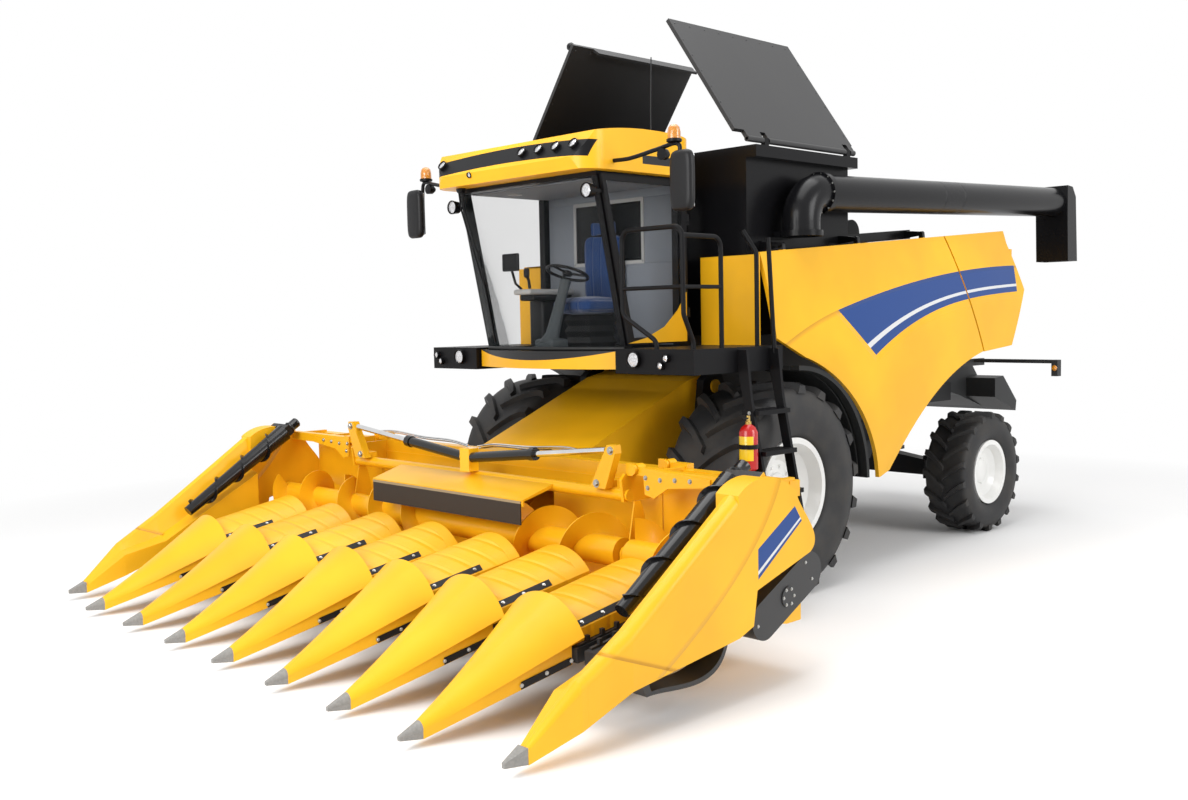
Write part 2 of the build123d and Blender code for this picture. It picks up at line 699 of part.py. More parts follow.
with BuildPart() as windscreen:
    brow_z = CAB_EAVE_Z - 42
    loft([bow(CAB_FLOOR_Z, CAB_SILL_Y, CAB_BULGE), bow(brow_z, CAB_BROW_Y, CAB_BROW_BULGE)], ruled=True)
    inner_sill = bow(CAB_FLOOR_Z, CAB_SILL_Y + GLASS_T, CAB_BULGE)
    inner_brow = bow(brow_z, CAB_BROW_Y + GLASS_T, CAB_BROW_BULGE)
    loft([inner_sill, inner_brow], ruled=True, mode=Mode.SUBTRACT)

with BuildPart() as cab_panes:
    with BuildSketch(across(-CAB_HALF_W - 1 - GLASS_T, 0, 0)):
        with BuildLine():
            Polyline(
                (CAB_REAR_Y - 20, CAB_FLOOR_Z + 20),
                (CAB_SILL_Y + 20, CAB_FLOOR_Z + 20),
                (CAB_BROW_Y + 24, CAB_EAVE_Z - 10),
                (CAB_REAR_Y - 20, CAB_EAVE_Z - 10),
                close=True,
            )
        make_face()
    extrude(amount=GLASS_T + 1)
    with BuildSketch(facing_front(CAB_REAR_Y - CAB_WALL)):
        with Locations((0, 3220)):
            RectangleRounded(1340, 600, 60)
    extrude(amount=GLASS_T)
gather([windscreen.part, *cab_panes.part.solids()], "cab_glass")

# Cab door: a thin frame round one pane, on two barrels at its rear edge
DOOR_X = CAB_HALF_W + 6
DOOR_T = 32
DOOR_OUTLINE = (
    (CAB_REAR_Y - 50, CAB_FLOOR_Z + 45),
    (CAB_SILL_Y + 10, CAB_FLOOR_Z + 45),
    (CAB_BROW_Y + 24, CAB_EAVE_Z - 20),
    (CAB_REAR_Y - 50, CAB_EAVE_Z - 20),
)
DOOR_PANE = (
    (CAB_REAR_Y - 110, CAB_FLOOR_Z + 105),
    (CAB_SILL_Y + 62, CAB_FLOOR_Z + 105),
    (CAB_BROW_Y + 78, CAB_EAVE_Z - 75),
    (CAB_REAR_Y - 110, CAB_EAVE_Z - 75),
)
with BuildPart() as door:
    with BuildSketch(across(DOOR_X, 0, 0)):
        with BuildLine():
            Polyline(*DOOR_OUTLINE, close=True)
        make_face()
        with BuildLine():
            Polyline(*DOOR_PANE, close=True)
        make_face(mode=Mode.SUBTRACT)
    extrude(amount=DOOR_T)
    for z in (2420, 3220):
        with BuildSketch(Plane.XY.offset(z + 15 + 1)):
            with Locations((CAB_HALF_W + 22, CAB_REAR_Y - 22)):
                Circle(16)
            with Locations((CAB_HALF_W + 22, CAB_REAR_Y - 42)):
                Rectangle(18, 36)
            with Locations((CAB_HALF_W + 22, CAB_REAR_Y - 22)):
                Circle(9 + PIN_GAP, mode=Mode.SUBTRACT)
        extrude(amount=50)
save(door.part, "door_frame")

with BuildPart() as door_glass:
    with BuildSketch(across(DOOR_X + 12, 0, 0)):
        with BuildLine():
            Polyline(*DOOR_PANE, close=True)
        make_face()
    extrude(amount=GLASS_T)
save(door_glass.part, "door_glass")

# Cab roof: a crowned moulding with a sloping visor and a black lamp band let into its front
ROOF_FRONT_Y = -1720
ROOF_REAR_Y = CAB_REAR_Y + 10
ROOF_CORNER = 220
BROW_H = 95
VISOR_BACK = 130
BAND_END_X = 960
BAND_LOW_Z = CAB_EAVE_Z + BROW_H
BAND_HIGH_Z = ROOF_TOP - 85
BAND_DEPTH = 260
LAMP_R = 42
LAMP_XS = (200, 410, 615, 825)
END_LAMP_X = -880


def roof_form():
    """The whole roof: a rounded plan, cut to the visor's slope and the top's crown."""
    with BuildPart() as form:
        with BuildSketch(Plane.XY.offset(CAB_EAVE_Z)):
            with Locations((0, (ROOF_FRONT_Y + ROOF_REAR_Y) / 2)):
                RectangleRounded(2 * ROOF_HALF_W, ROOF_REAR_Y - ROOF_FRONT_Y, ROOF_CORNER)
        extrude(amount=ROOF_TOP - CAB_EAVE_Z)
        with BuildSketch(across(-ROOF_HALF_W, 0, 0)):
            with BuildLine():
                Polyline(
                    (ROOF_REAR_Y, ROOF_TOP - 40),
                    (ROOF_REAR_Y, CAB_EAVE_Z),
                    (ROOF_FRONT_Y + 30, CAB_EAVE_Z),
                    (ROOF_FRONT_Y, CAB_EAVE_Z + BROW_H),
                    (ROOF_FRONT_Y + VISOR_BACK, ROOF_TOP - 50),
                )
                ThreePointArc(
                    (ROOF_FRONT_Y + VISOR_BACK, ROOF_TOP - 50),
                    ((ROOF_FRONT_Y + ROOF_REAR_Y) / 2, ROOF_TOP),
                    (ROOF_REAR_Y, ROOF_TOP - 40),
                )
            make_face()
        extrude(amount=2 * ROOF_HALF_W, mode=Mode.INTERSECT)
    return form.part


def band_slot():
    """The space in the visor that the lamp band fills."""
    with BuildPart() as slot:
        with BuildSketch(facing_front(ROOF_FRONT_Y + BAND_DEPTH)):
            with BuildLine():
                ThreePointArc((-BAND_END_X, BAND_LOW_Z), (0, BAND_LOW_Z + 35), (BAND_END_X, BAND_LOW_Z))
                Line((BAND_END_X, BAND_LOW_Z), (BAND_END_X + 40, BAND_HIGH_Z - 40))
                ThreePointArc(
                    (BAND_END_X + 40, BAND_HIGH_Z - 40),
                    (0, BAND_HIGH_Z),
                    (-BAND_END_X - 40, BAND_HIGH_Z - 40),
                )
                Line((-BAND_END_X - 40, BAND_HIGH_Z - 40), (-BAND_END_X, BAND_LOW_Z))
            make_face()
        extrude(amount=2 * BAND_DEPTH)
    return slot.part


with BuildPart() as roof:
    add(roof_form())
    add(band_slot(), mode=Mode.SUBTRACT)
save(roof.part, "cab_roof")

# Lamps stand a little proud of the band, square to the visor's slope
visor_lean = atan2(VISOR_BACK, ROOF_TOP - 50 - CAB_EAVE_Z - BROW_H)
visor_dir = (0, -cos(visor_lean), sin(visor_lean))
LAMP_Z = (BAND_LOW_Z + 35 + BAND_HIGH_Z) / 2
LAMP_Y = ROOF_FRONT_Y + (LAMP_Z - CAB_EAVE_Z - BROW_H) * sin(visor_lean) / cos(visor_lean)
with BuildPart() as lamp_band:
    add(band_slot())
    add(roof_form(), mode=Mode.INTERSECT)
    for x in (*LAMP_XS, END_LAMP_X):
        with BuildSketch(Plane((x, LAMP_Y, LAMP_Z), x_dir=(1, 0, 0), z_dir=visor_dir)):
            Circle(LAMP_R)
        extrude(amount=14, both=True)

# Work lamps on the windscreen's two posts
POST_LAMP_R = 52
POST_LAMP_Z = 3430
POST_SHARE = (POST_LAMP_Z - CAB_FLOOR_Z) / (CAB_EAVE_Z - CAB_FLOOR_Z)
POST_Y = CAB_SILL_Y + POST_SHARE * (CAB_BROW_Y - CAB_SILL_Y)
with BuildPart() as post_lamps:
    for side in (1, -1):
        with BuildSketch(facing_front(POST_Y - 60)):
            with Locations((side * (CAB_HALF_W - 20), POST_LAMP_Z)):
                Circle(POST_LAMP_R)
        extrude(amount=60, taper=-8)
        with Locations((side * (CAB_HALF_W + 10), POST_Y - 32, POST_LAMP_Z)):
            Box(20, 84, 24)
gather([cab.part, lamp_band.part, *post_lamps.part.solids()], "cab_frame")

# Cab bumper: the bowed strip under the windscreen
BUMPER_Z = 1990
BUMPER_DEPTH = 90
with BuildPart() as bumper:
    seat_y = CAB_SILL_Y - 1
    face_y = CAB_SILL_Y - BUMPER_DEPTH
    with BuildSketch(Plane.XY.offset(BUMPER_Z)):
        with BuildLine():
            ThreePointArc((-CAB_HALF_W, seat_y), (0, seat_y - CAB_BULGE), (CAB_HALF_W, seat_y))
            Line((CAB_HALF_W, seat_y), (CAB_HALF_W, face_y))
            ThreePointArc((CAB_HALF_W, face_y), (0, face_y - CAB_BULGE - 10), (-CAB_HALF_W, face_y))
            Line((-CAB_HALF_W, face_y), (-CAB_HALF_W, seat_y))
        make_face()
    extrude(amount=CAB_FLOOR_Z - BUMPER_Z)

# Operator's seat and steering column
with BuildPart() as seat:
    with Locations((0, -720, CAB_FLOOR_Z + 160)):
        Box(360, 360, 320)
    with Locations((0, -740, CAB_FLOOR_Z + 380)):
        Box(520, 520, 120)
    with Locations((0, -530, CAB_FLOOR_Z + 720)):
        Box(500, 110, 640)
save(seat.part, "operator_seat")

WHEEL_TILT = 20
with BuildPart() as column:
    with Locations((0, -1200, CAB_FLOOR_Z + 60)):
        Box(260, 220, 120)
    steer = Plane(
        (0, -1200, CAB_FLOOR_Z + 100),
        x_dir=(1, 0, 0),
        z_dir=(0, sin(radians(WHEEL_TILT)), cos(radians(WHEEL_TILT))),
    )
    with BuildSketch(steer):
        Circle(45)
    extrude(amount=620)
    with BuildSketch(steer.offset(600)):
        Circle(200)
        Circle(172, mode=Mode.SUBTRACT)
        Rectangle(360, 50)
    extrude(amount=28)
save(column.part, "steering_column")

# Platform: walkways either side of the cab on two beams from the threshing body
ROAD_LAMPS = ((1130, 2075, 66), (1480, 2090, 32), (1420, 2030, 32))
with BuildPart() as platform:
    for side in (1, -1):
        outer = PLATFORM_HALF_W if side == 1 else 1560
        with BuildSketch(Plane.XY.offset(PLATFORM_Z - PLATFORM_H)):
            with Locations((side * (outer + CAB_HALF_W + 15) / 2, (PLATFORM_FRONT_Y - 200) / 2)):
                Rectangle(outer - CAB_HALF_W - 15, -200 - PLATFORM_FRONT_Y)
        extrude(amount=PLATFORM_H)
        with Locations((side * 640, (200 - 1080) / 2, 2045)):
            Box(100, 1280, 90)
    for y in (-1000, -420):
        with Locations((0, y, 2045)):
            Box(2 * (CAB_HALF_W + 40), 120, 90)
    # Road lamps in the front plates: a large one, and two small ones further out
    for side in (1, -1):
        for reach, z, radius in ROAD_LAMPS:
            with BuildSketch(facing_front(PLATFORM_FRONT_Y)):
                with Locations((side * reach, z)):
                    Circle(radius)
            extrude(amount=24)
save(platform.part, "cab_platform")

# Handrails: bent tube ahead of the walkway, a gate beside it and two grab poles at the ladder
RAIL_R = 19
BAR_R = 16
RAIL_BEND = 90
RAIL_X = PLATFORM_HALF_W - 30
RAIL_Y = PLATFORM_FRONT_Y + 30
RAIL_TOP = 3100
RAIL_KNEE = 2430
BAR_Z = PLATFORM_Z + 480
GATE_TOP = 3030
GATE_Y = -950
POLE_Y = -500


def door_front_y(z):
    """Front edge of the door at a height."""
    (low_y, low_z), (high_y, high_z) = DOOR_OUTLINE[1:3]
    return low_y + (z - low_z) * (high_y - low_y) / (high_z - low_z)


# The front loop stands ahead of the door's sweep, on feet that lean back to the walkway
LOOP_Y = door_front_y(RAIL_TOP) - RAIL_R - 2 * RUN_GAP
LOOP_X = 1075
LOOP_FOOT_X = 1340
FOOT_RISE = 60
with BuildPart() as rails:
    routes = (
        (
            (LOOP_FOOT_X, RAIL_Y, PLATFORM_Z),
            (LOOP_FOOT_X, RAIL_Y, PLATFORM_Z + FOOT_RISE),
            (LOOP_X, LOOP_Y, RAIL_KNEE),
            (LOOP_X, LOOP_Y, RAIL_TOP),
            (RAIL_X, LOOP_Y, RAIL_TOP),
            (RAIL_X, LOOP_Y, RAIL_KNEE),
            (RAIL_X, RAIL_Y, PLATFORM_Z + FOOT_RISE),
            (RAIL_X, RAIL_Y, PLATFORM_Z),
        ),
        (
            (RAIL_X, LOOP_Y, GATE_TOP),
            (RAIL_X, GATE_Y, GATE_TOP),
            (RAIL_X, GATE_Y, PLATFORM_Z),
        ),
        (
            (RAIL_X, POLE_Y, PLATFORM_Z),
            (RAIL_X, POLE_Y, RAIL_TOP - 180),
            (RAIL_X - 120, POLE_Y - 20, RAIL_TOP),
        ),
    )
    for route in routes:
        with BuildLine() as path:
            FilletPolyline(*route, radius=RAIL_BEND)
        with BuildSketch(Plane(path.line @ 0, z_dir=path.line % 0)):
            Circle(RAIL_R)
        sweep(path=path.line)
    with BuildSketch(across(LOOP_X, LOOP_Y, BAR_Z)):
        Circle(BAR_R)
    extrude(amount=RAIL_X - LOOP_X)
    with BuildSketch(Plane((RAIL_X, LOOP_Y, BAR_Z), z_dir=(0, 1, 0))):
        Circle(BAR_R)
    extrude(amount=GATE_Y - LOOP_Y)

# Ladder: two sloping side plates with treads, hung on the left walkway's edge
LADDER_Y = -575
LADDER_HALF = 205
TREAD_ZS = (680, 1000, 1320, 1640)
LADDER_TOP_X = PLATFORM_HALF_W
LADDER_SLOPE = 0.2
POLE_REAR_Y = LADDER_Y + LADDER_HALF
POLE_TOP = 3040
with BuildPart() as ladder:
    for side in (1, -1):
        with BuildSketch(facing_front(LADDER_Y + side * LADDER_HALF)):
            with BuildLine():
                Polyline(
                    (LADDER_TOP_X, PLATFORM_Z - 20),
                    (LADDER_TOP_X + 90, PLATFORM_Z - 20),
                    (LADDER_TOP_X + 130, 1760),
                    (LADDER_TOP_X + 130 + LADDER_SLOPE * 1160, 600),
                    (LADDER_TOP_X + 50 + LADDER_SLOPE * 1160, 600),
                    (LADDER_TOP_X + 50, 1760),
                    (LADDER_TOP_X, 1990),
                    close=True,
                )
            make_face()
        extrude(amount=15, both=True)
    for z in TREAD_ZS:
        x = LADDER_TOP_X + 90 + LADDER_SLOPE * (1760 - z)
        with Locations((x, LADDER_Y, z)):
            Box(170, 2 * LADDER_HALF, 36)
    # The rear grab pole stands on the ladder's own side plate
    with BuildLine() as pole:
        Line((LADDER_TOP_X + 45, POLE_REAR_Y, PLATFORM_Z - 60), (LADDER_TOP_X - 10, POLE_REAR_Y, POLE_TOP))
    with BuildSketch(Plane(pole.line @ 0, z_dir=pole.line % 0)):
        Circle(RAIL_R)
    sweep(path=pole.line)
gather([*rails.part.solids(), ladder.part], "ladder_rails")

with BuildPart() as extinguisher:
    x = LADDER_TOP_X + 100 + LADDER_SLOPE * 360
    y = LADDER_Y - LADDER_HALF - 15 - 85
    with BuildSketch(Plane.XY.offset(1200)):
        with Locations((x, y)):
            Circle(75)
    extrude(amount=360)
    with BuildSketch(Plane.XY.offset(1560)):
        with Locations((x, y)):
            Circle(30)
    extrude(amount=70)
    with Locations((x, LADDER_Y - LADDER_HALF - 15 - 10, 1400)):
        Box(50, 20, 120)
save(extinguisher.part, "extinguisher")

# Mirrors on long arms from the roof, each with a beacon
MIRROR_X = 1710
MIRROR_Y = -1330
with BuildPart() as mirror_arm:
    with BuildLine():
        FilletPolyline(
            (ROOF_HALF_W, -1400, 3660),
            (ROOF_HALF_W + 200, -1400, 3660),
            (MIRROR_X - 60, MIRROR_Y, 3740),
            (MIRROR_X - 60, MIRROR_Y, 3250),
            radius=60,
        )
    with BuildSketch(Plane((ROOF_HALF_W, -1400, 3660), z_dir=(1, 0, 0))):
        Circle(17)
    sweep()
    with BuildSketch(facing_front(MIRROR_Y - 14)):
        with Locations((MIRROR_X, 3440)):
            RectangleRounded(230, 470, 40)
    extrude(amount=70)
    with BuildSketch(Plane.XY.offset(3735)):
        with Locations((MIRROR_X - 120, MIRROR_Y)):
            Circle(60)
    extrude(amount=35)

with BuildPart() as beacon:
    with BuildSketch(Plane.XY.offset(3770)):
        with Locations((MIRROR_X - 120, MIRROR_Y)):
            Circle(55)
    extrude(amount=110)
    fillet(beacon.edges().group_by(Axis.Z)[-1], 25)
gather([*both_sides(mirror_arm.part), *both_sides(beacon.part)], "mirrors")

# Front bulkheads either side of the cab and the front arches over the drive wheels
with BuildPart() as bulkhead:
    with Locations((1215, -225, (PLATFORM_Z + 2920) / 2)):
        Box(620, 40, 2920 - PLATFORM_Z)
gather([bumper.part, *both_sides(bulkhead.part)], "front_panels")

FENDER_R = 1020
with BuildPart() as fender:
    with BuildSketch(across(1240, 0, FRONT_TYRE_R)):
        Circle(FENDER_R + 40)
        Circle(FENDER_R, mode=Mode.SUBTRACT)
        with Locations((FENDER_R, FENDER_R)):
            Rectangle(2 * FENDER_R, 2 * FENDER_R, mode=Mode.INTERSECT)
    extrude(amount=530)
    with Locations((985, 760, 1660)):
        Box(530, 80, 50)
gather(both_sides(fender.part), "front_fenders")

# Side panels: bowed sheets hung from a sloping hinge line along their top edge
PANEL_TOP_Z = 2940
PANEL_SLOPE = 4.37
PANEL_DROP = 45
PANEL_PIN_R = 12
slope_cos = cos(radians(PANEL_SLOPE))
slope_sin = sin(radians(PANEL_SLOPE))
HINGE_PLANE = Plane(
    (0, PANEL_FRONT_Y, PANEL_TOP_Z + PANEL_DROP), x_dir=(1, 0, 0), z_dir=(0, -slope_cos, -slope_sin)
)
HINGE_STATIONS = (350, 1500, 2650)


def bowed_section():
    """The curved section that every left side panel is pulled from."""
    with BuildSketch(HINGE_PLANE) as section:
        with BuildLine():
            ThreePointArc((1510, -PANEL_DROP), (1640, -760), (1590, -2250))
            Line((1590, -2250), (1590 - PANEL_T, -2250))
            ThreePointArc((1590 - PANEL_T, -2250), (1640 - PANEL_T, -760), (1510 - PANEL_T, -PANEL_DROP))
            Line((1510 - PANEL_T, -PANEL_DROP), (1510, -PANEL_DROP))
        make_face()
    return section.sketch


with BuildPart() as side_panel:
    extrude(bowed_section(), amount=-5000)
    with BuildSketch(across(1300, 0, 0)):
        with BuildLine():
            Polyline((250, 2040), (PANEL_FRONT_Y, 2240), (PANEL_FRONT_Y, 3300), (2765, 3300), (3355, 1985))
            Spline((3355, 1985), (2310, 1540), (1670, 910))
            Line((1670, 910), (1500, 850))
            ThreePointArc((1500, 850), (1080, 1540), (250, 2040))
        make_face()
    extrude(amount=500, mode=Mode.INTERSECT)
    # Lugs on the inside reach up to the hinge pins
    for station in HINGE_STATIONS:
        with BuildSketch(HINGE_PLANE.offset(-station + 20)):
            with BuildLine():
                Polyline(
                    (PANEL_HINGE_X - 22, 0),
                    (PANEL_HINGE_X - 22, -PANEL_DROP - 60),
                    (1505, -PANEL_DROP - 60),
                    (1505, -PANEL_DROP - 5),
                    (PANEL_HINGE_X + 22, 0),
                    close=True,
                )
            make_face()
            with Locations((PANEL_HINGE_X, 0)):
                Circle(22)
                Circle(PANEL_PIN_R + PIN_GAP, mode=Mode.SUBTRACT)
        extrude(amount=-40)
save_pair(side_panel.part, "side_panel")

# Hinge arms: they stand out from the tank and the engine deck and carry the panels' pins
with BuildPart() as hinge_arms:
    for station in HINGE_STATIONS:
        with BuildSketch(HINGE_PLANE.offset(-station + 20 + RUN_GAP + 24)):
            with BuildLine():
                Polyline(
                    (1290, -40),
                    (1290, 40),
                    (PANEL_HINGE_X - 10, 22),
                    (PANEL_HINGE_X + 20, 0),
                    (PANEL_HINGE_X - 10, -22),
                    close=True,
                )
            make_face()
        extrude(amount=-24)
        with BuildSketch(HINGE_PLANE.offset(-station + 20 + RUN_GAP + 10)):
            with Locations((PANEL_HINGE_X, 0)):
                Circle(PANEL_PIN_R)
        extrude(amount=-(RUN_GAP + 10 + 44))
    # One rail ties the arms together along the tank's side
    with BuildSketch(HINGE_PLANE.offset(-HINGE_STATIONS[0] + 60)):
        with Locations((1302, 0)):
            Rectangle(24, 90)
    extrude(amount=-(HINGE_STATIONS[-1] - HINGE_STATIONS[0] + 120))
gather([tank.part, spout_base.part, *both_sides(hinge_arms.part)], "grain_tank")

# Rear hood: fixed side sheets behind the panels, joined by the back wall
REAR_WALL_Y = 4140
REAR_WALL_T = 50
REAR_WALL_TOP = 3070
REAR_WALL_HALF_W = 1560
REAR_OUTLINE = (
    (2780, 3300),
    (4070, 3300),
    (4090, 3130),
    (PANEL_REAR_Y, 2630),
    (3970, 2030),
    (3370, 1983),
)
with BuildPart() as rear_side:
    extrude(bowed_section(), amount=-5000)
    with BuildSketch(across(1300, 12, 0)):
        with BuildLine():
            Polyline(*REAR_OUTLINE, close=True)
        make_face()
    extrude(amount=500, mode=Mode.INTERSECT)
with BuildPart() as rear_hood:
    with BuildSketch(facing_front(REAR_WALL_Y + REAR_WALL_T)):
        with Locations((0, (BODY_TOP + REAR_WALL_TOP) / 2)):
            Rectangle(2 * REAR_WALL_HALF_W, REAR_WALL_TOP - BODY_TOP)
    extrude(amount=REAR_WALL_T)
    add(rear_side.part)
    add(mirror(rear_side.part, about=Plane.YZ))
save(rear_hood.part, "rear_hood")

# Straw chopper and its spreading deflector under the rear hood
with BuildPart() as chopper:
    with BuildSketch(across(-BODY_HALF_W + 5, 0, 0)):
        with BuildLine():
            Polyline(
                (4150, RAIL_Z + RAIL_KICK + 130),
                (4300, 1900),
                (4300, 2040),
                (4720, 1960),
                (5250, 1400),
                (5230, 1230),
                (4900, 1330),
                (4600, 1420),
                close=True,
            )
        make_face()
    extrude(amount=2 * (BODY_HALF_W - 5))
    with BuildSketch(across(-1080, 0, 0)):
        with BuildLine():
            Polyline((4760, 1620), (4960, 1640), (5290, 1330), (5270, 1210), (4760, 1400), close=True)
        make_face()
    extrude(amount=2 * 1080)

# Tow hitch: a tongue behind the rear axle's cradle, with a plain bore for the pin
HITCH_BORE_R = 20.5
HITCH_Y = 4420
HITCH_Z = 780
with BuildPart() as hitch:
    with BuildSketch(Plane.XY.offset(HITCH_Z - 20)):
        with Locations(((0), (WHEELBASE + 150 + HITCH_Y) / 2)):
            Rectangle(160, HITCH_Y - WHEELBASE - 150)
        with Locations((0, HITCH_Y)):
            Circle(80)
            Circle(HITCH_BORE_R, mode=Mode.SUBTRACT)
    extrude(amount=40)
gather([main_frame.part, hitch.part], "main_frame")

# Tail lamps on arms at the rear corners
with BuildPart() as tail_lamp:
    with Locations((1400, 4600, 1830)):
        Box(1000, 60, 40)
    with Locations((1880, 4600, 1760)):
        Box(70, 90, 180)
    with Locations((895, 4560, 1810)):
        Box(40, 520, 80)
    with Locations(((BODY_HALF_W - 5 + 915) / 2, 4380, 1810)):
        Box(915 - BODY_HALF_W + 5, 80, 80)
gather([chopper.part, *both_sides(tail_lamp.part)], "straw_chopper")

# Feeder house: a hollow sloping duct on a cross shaft, with a frame at its mouth
FEEDER_TOP_SLOPE = 0.41
FEEDER_TOP_Z0 = 1895
FEEDER_PROFILE = (
    (FEEDER_FRONT_Y, 370),
    (FEEDER_FRONT_Y, FEEDER_TOP_Z0 + FEEDER_TOP_SLOPE * FEEDER_FRONT_Y),
    (-160, FEEDER_TOP_Z0 + FEEDER_TOP_SLOPE * -160),
    (110, 1890),
    (150, 1800),
    (150, 1700),
    (0, 1380),
)
with BuildPart() as feeder:
    with BuildSketch(across(-FEEDER_HALF_W, 0, 0)):
        with BuildLine():
            Polyline(*FEEDER_PROFILE, close=True)
        make_face()
    extrude(amount=2 * FEEDER_HALF_W)
    with BuildSketch(across(-FEEDER_HALF_W + FEEDER_WALL, 0, 0)):
        with BuildLine():
            Polyline(
                (FEEDER_FRONT_Y - 5, 420),
                (FEEDER_FRONT_Y - 5, 1130),
                (-200, 1740),
                (-60, 1720),
                (-60, 1400),
                close=True,
            )
        make_face()
    extrude(amount=2 * (FEEDER_HALF_W - FEEDER_WALL), mode=Mode.SUBTRACT)
    with BuildSketch(across(-BODY_HALF_W - RAIL_W - 20, FEEDER_PIVOT_Y, FEEDER_PIVOT_Z)):
        Circle(FEEDER_PIVOT_R)
    extrude(amount=2 * (BODY_HALF_W + RAIL_W + 20))
    # Lugs under the floor take the lift cylinders' rod eyes
    for x in (-LIFT_CYL_X, LIFT_CYL_X):
        for ear in (-1, 1):
            with BuildSketch(across(x + ear * (LIFT_BARREL_R + RUN_GAP + LIFT_LUG_T / 2), 0, 0)):
                with BuildLine():
                    Polyline(
                        (LIFT_EYE_Y - 120, 720),
                        (LIFT_EYE_Y - 55, LIFT_EYE_Z - 10),
                        (LIFT_EYE_Y, LIFT_EYE_Z - 55),
                        (LIFT_EYE_Y + 55, LIFT_EYE_Z - 10),
                        (LIFT_EYE_Y + 170, 900),
                        (LIFT_EYE_Y - 120, 730),
                        close=True,
                    )
                make_face()
            extrude(amount=LIFT_LUG_T / 2, both=True)
        with BuildSketch(across(x, LIFT_EYE_Y, LIFT_EYE_Z)):
            Circle(LIFT_PIN_R)
        extrude(amount=LIFT_BARREL_R + RUN_GAP + LIFT_LUG_T, both=True)
save(feeder.part, "feeder_house")

# Lift cylinders between the front axle and the feeder house
lift_dy = LIFT_EYE_Y - LIFT_BASE_Y
lift_dz = LIFT_EYE_Z - LIFT_BASE_Z
LIFT_SPAN = sqrt(lift_dy**2 + lift_dz**2)
LIFT_DIR = (0, lift_dy / LIFT_SPAN, lift_dz / LIFT_SPAN)
LIFT_BARREL_L = 740
LIFT_ROD_IN = 560
with BuildPart() as barrel:
    line = Plane((LIFT_CYL_X, LIFT_BASE_Y, LIFT_BASE_Z), x_dir=(1, 0, 0), z_dir=LIFT_DIR)
    with BuildSketch(line.offset(40)):
        Circle(LIFT_BARREL_R)
    extrude(amount=LIFT_BARREL_L - 40)
    with BuildSketch(across(LIFT_CYL_X, LIFT_BASE_Y, LIFT_BASE_Z)):
        Circle(52)
    extrude(amount=LIFT_BARREL_R - 4, both=True)
    with BuildSketch(across(LIFT_CYL_X, LIFT_BASE_Y, LIFT_BASE_Z)):
        Circle(LIFT_PIN_R + PIN_GAP)
    extrude(amount=LIFT_BARREL_R + 20, both=True, mode=Mode.SUBTRACT)
    with BuildSketch(line.offset(LIFT_BARREL_L)):
        Circle(LIFT_ROD_R + PIN_GAP)
    extrude(amount=-(LIFT_BARREL_L - 70), mode=Mode.SUBTRACT)
save_pair(barrel.part, "lift_barrel")

with BuildPart() as rod:
    line = Plane((LIFT_CYL_X, LIFT_BASE_Y, LIFT_BASE_Z), x_dir=(1, 0, 0), z_dir=LIFT_DIR)
    with BuildSketch(line.offset(LIFT_BARREL_L - LIFT_ROD_IN)):
        Circle(LIFT_ROD_R)
    extrude(amount=LIFT_SPAN - LIFT_BARREL_L + LIFT_ROD_IN - LIFT_PIN_R - LIFT_EYE_GAP)
    with BuildSketch(across(LIFT_CYL_X, LIFT_EYE_Y, LIFT_EYE_Z)):
        Circle(LIFT_PIN_R + LIFT_EYE_GAP + 22)
        Circle(LIFT_PIN_R + LIFT_EYE_GAP, mode=Mode.SUBTRACT)
    extrude(amount=LIFT_BARREL_R - 4, both=True)
save_pair(rod.part, "lift_rod")

# Header frames: trough under the auger, back sheet and beams; one across the middle, one per wing


def trough_profile(x):
    """Side view of the header's sheet: front lip, round trough, back sheet and two box beams."""
    back_y = FEEDER_FRONT_Y - 100
    with BuildSketch(across(x, 0, 0)) as profile:
        with BuildLine():
            Polyline(
                (HOOD_REAR_Y, 430),
                (HOOD_REAR_Y, 600),
                (HOOD_REAR_Y + SHEET_T, 600),
                (AUGER_Y - TROUGH_R * cos(radians(35)), AUGER_Z - TROUGH_R * sin(radians(35))),
            )
            ThreePointArc(
                (AUGER_Y - TROUGH_R * cos(radians(35)), AUGER_Z - TROUGH_R * sin(radians(35))),
                (AUGER_Y, AUGER_Z - TROUGH_R),
                (AUGER_Y + TROUGH_R * cos(radians(35)), AUGER_Z - TROUGH_R * sin(radians(35))),
            )
            Polyline(
                (AUGER_Y + TROUGH_R * cos(radians(35)), AUGER_Z - TROUGH_R * sin(radians(35))),
                (back_y - SHEET_T, AUGER_Z + 60),
                (back_y - SHEET_T, 1190),
                (back_y - 10, 1190),
                (back_y - 10, 1300),
                (FEEDER_FRONT_Y, 1300),
                (FEEDER_FRONT_Y, 1190),
                (back_y, 1190),
                (back_y, 480),
                (FEEDER_FRONT_Y, 480),
                (FEEDER_FRONT_Y, 340),
                (back_y - 60, 340),
                (AUGER_Y + 100, AUGER_Z - TROUGH_R - SHEET_T),
                (AUGER_Y - 100, AUGER_Z - TROUGH_R - SHEET_T),
                (HOOD_REAR_Y, 430),
            )
        make_face()
    return profile.sketch


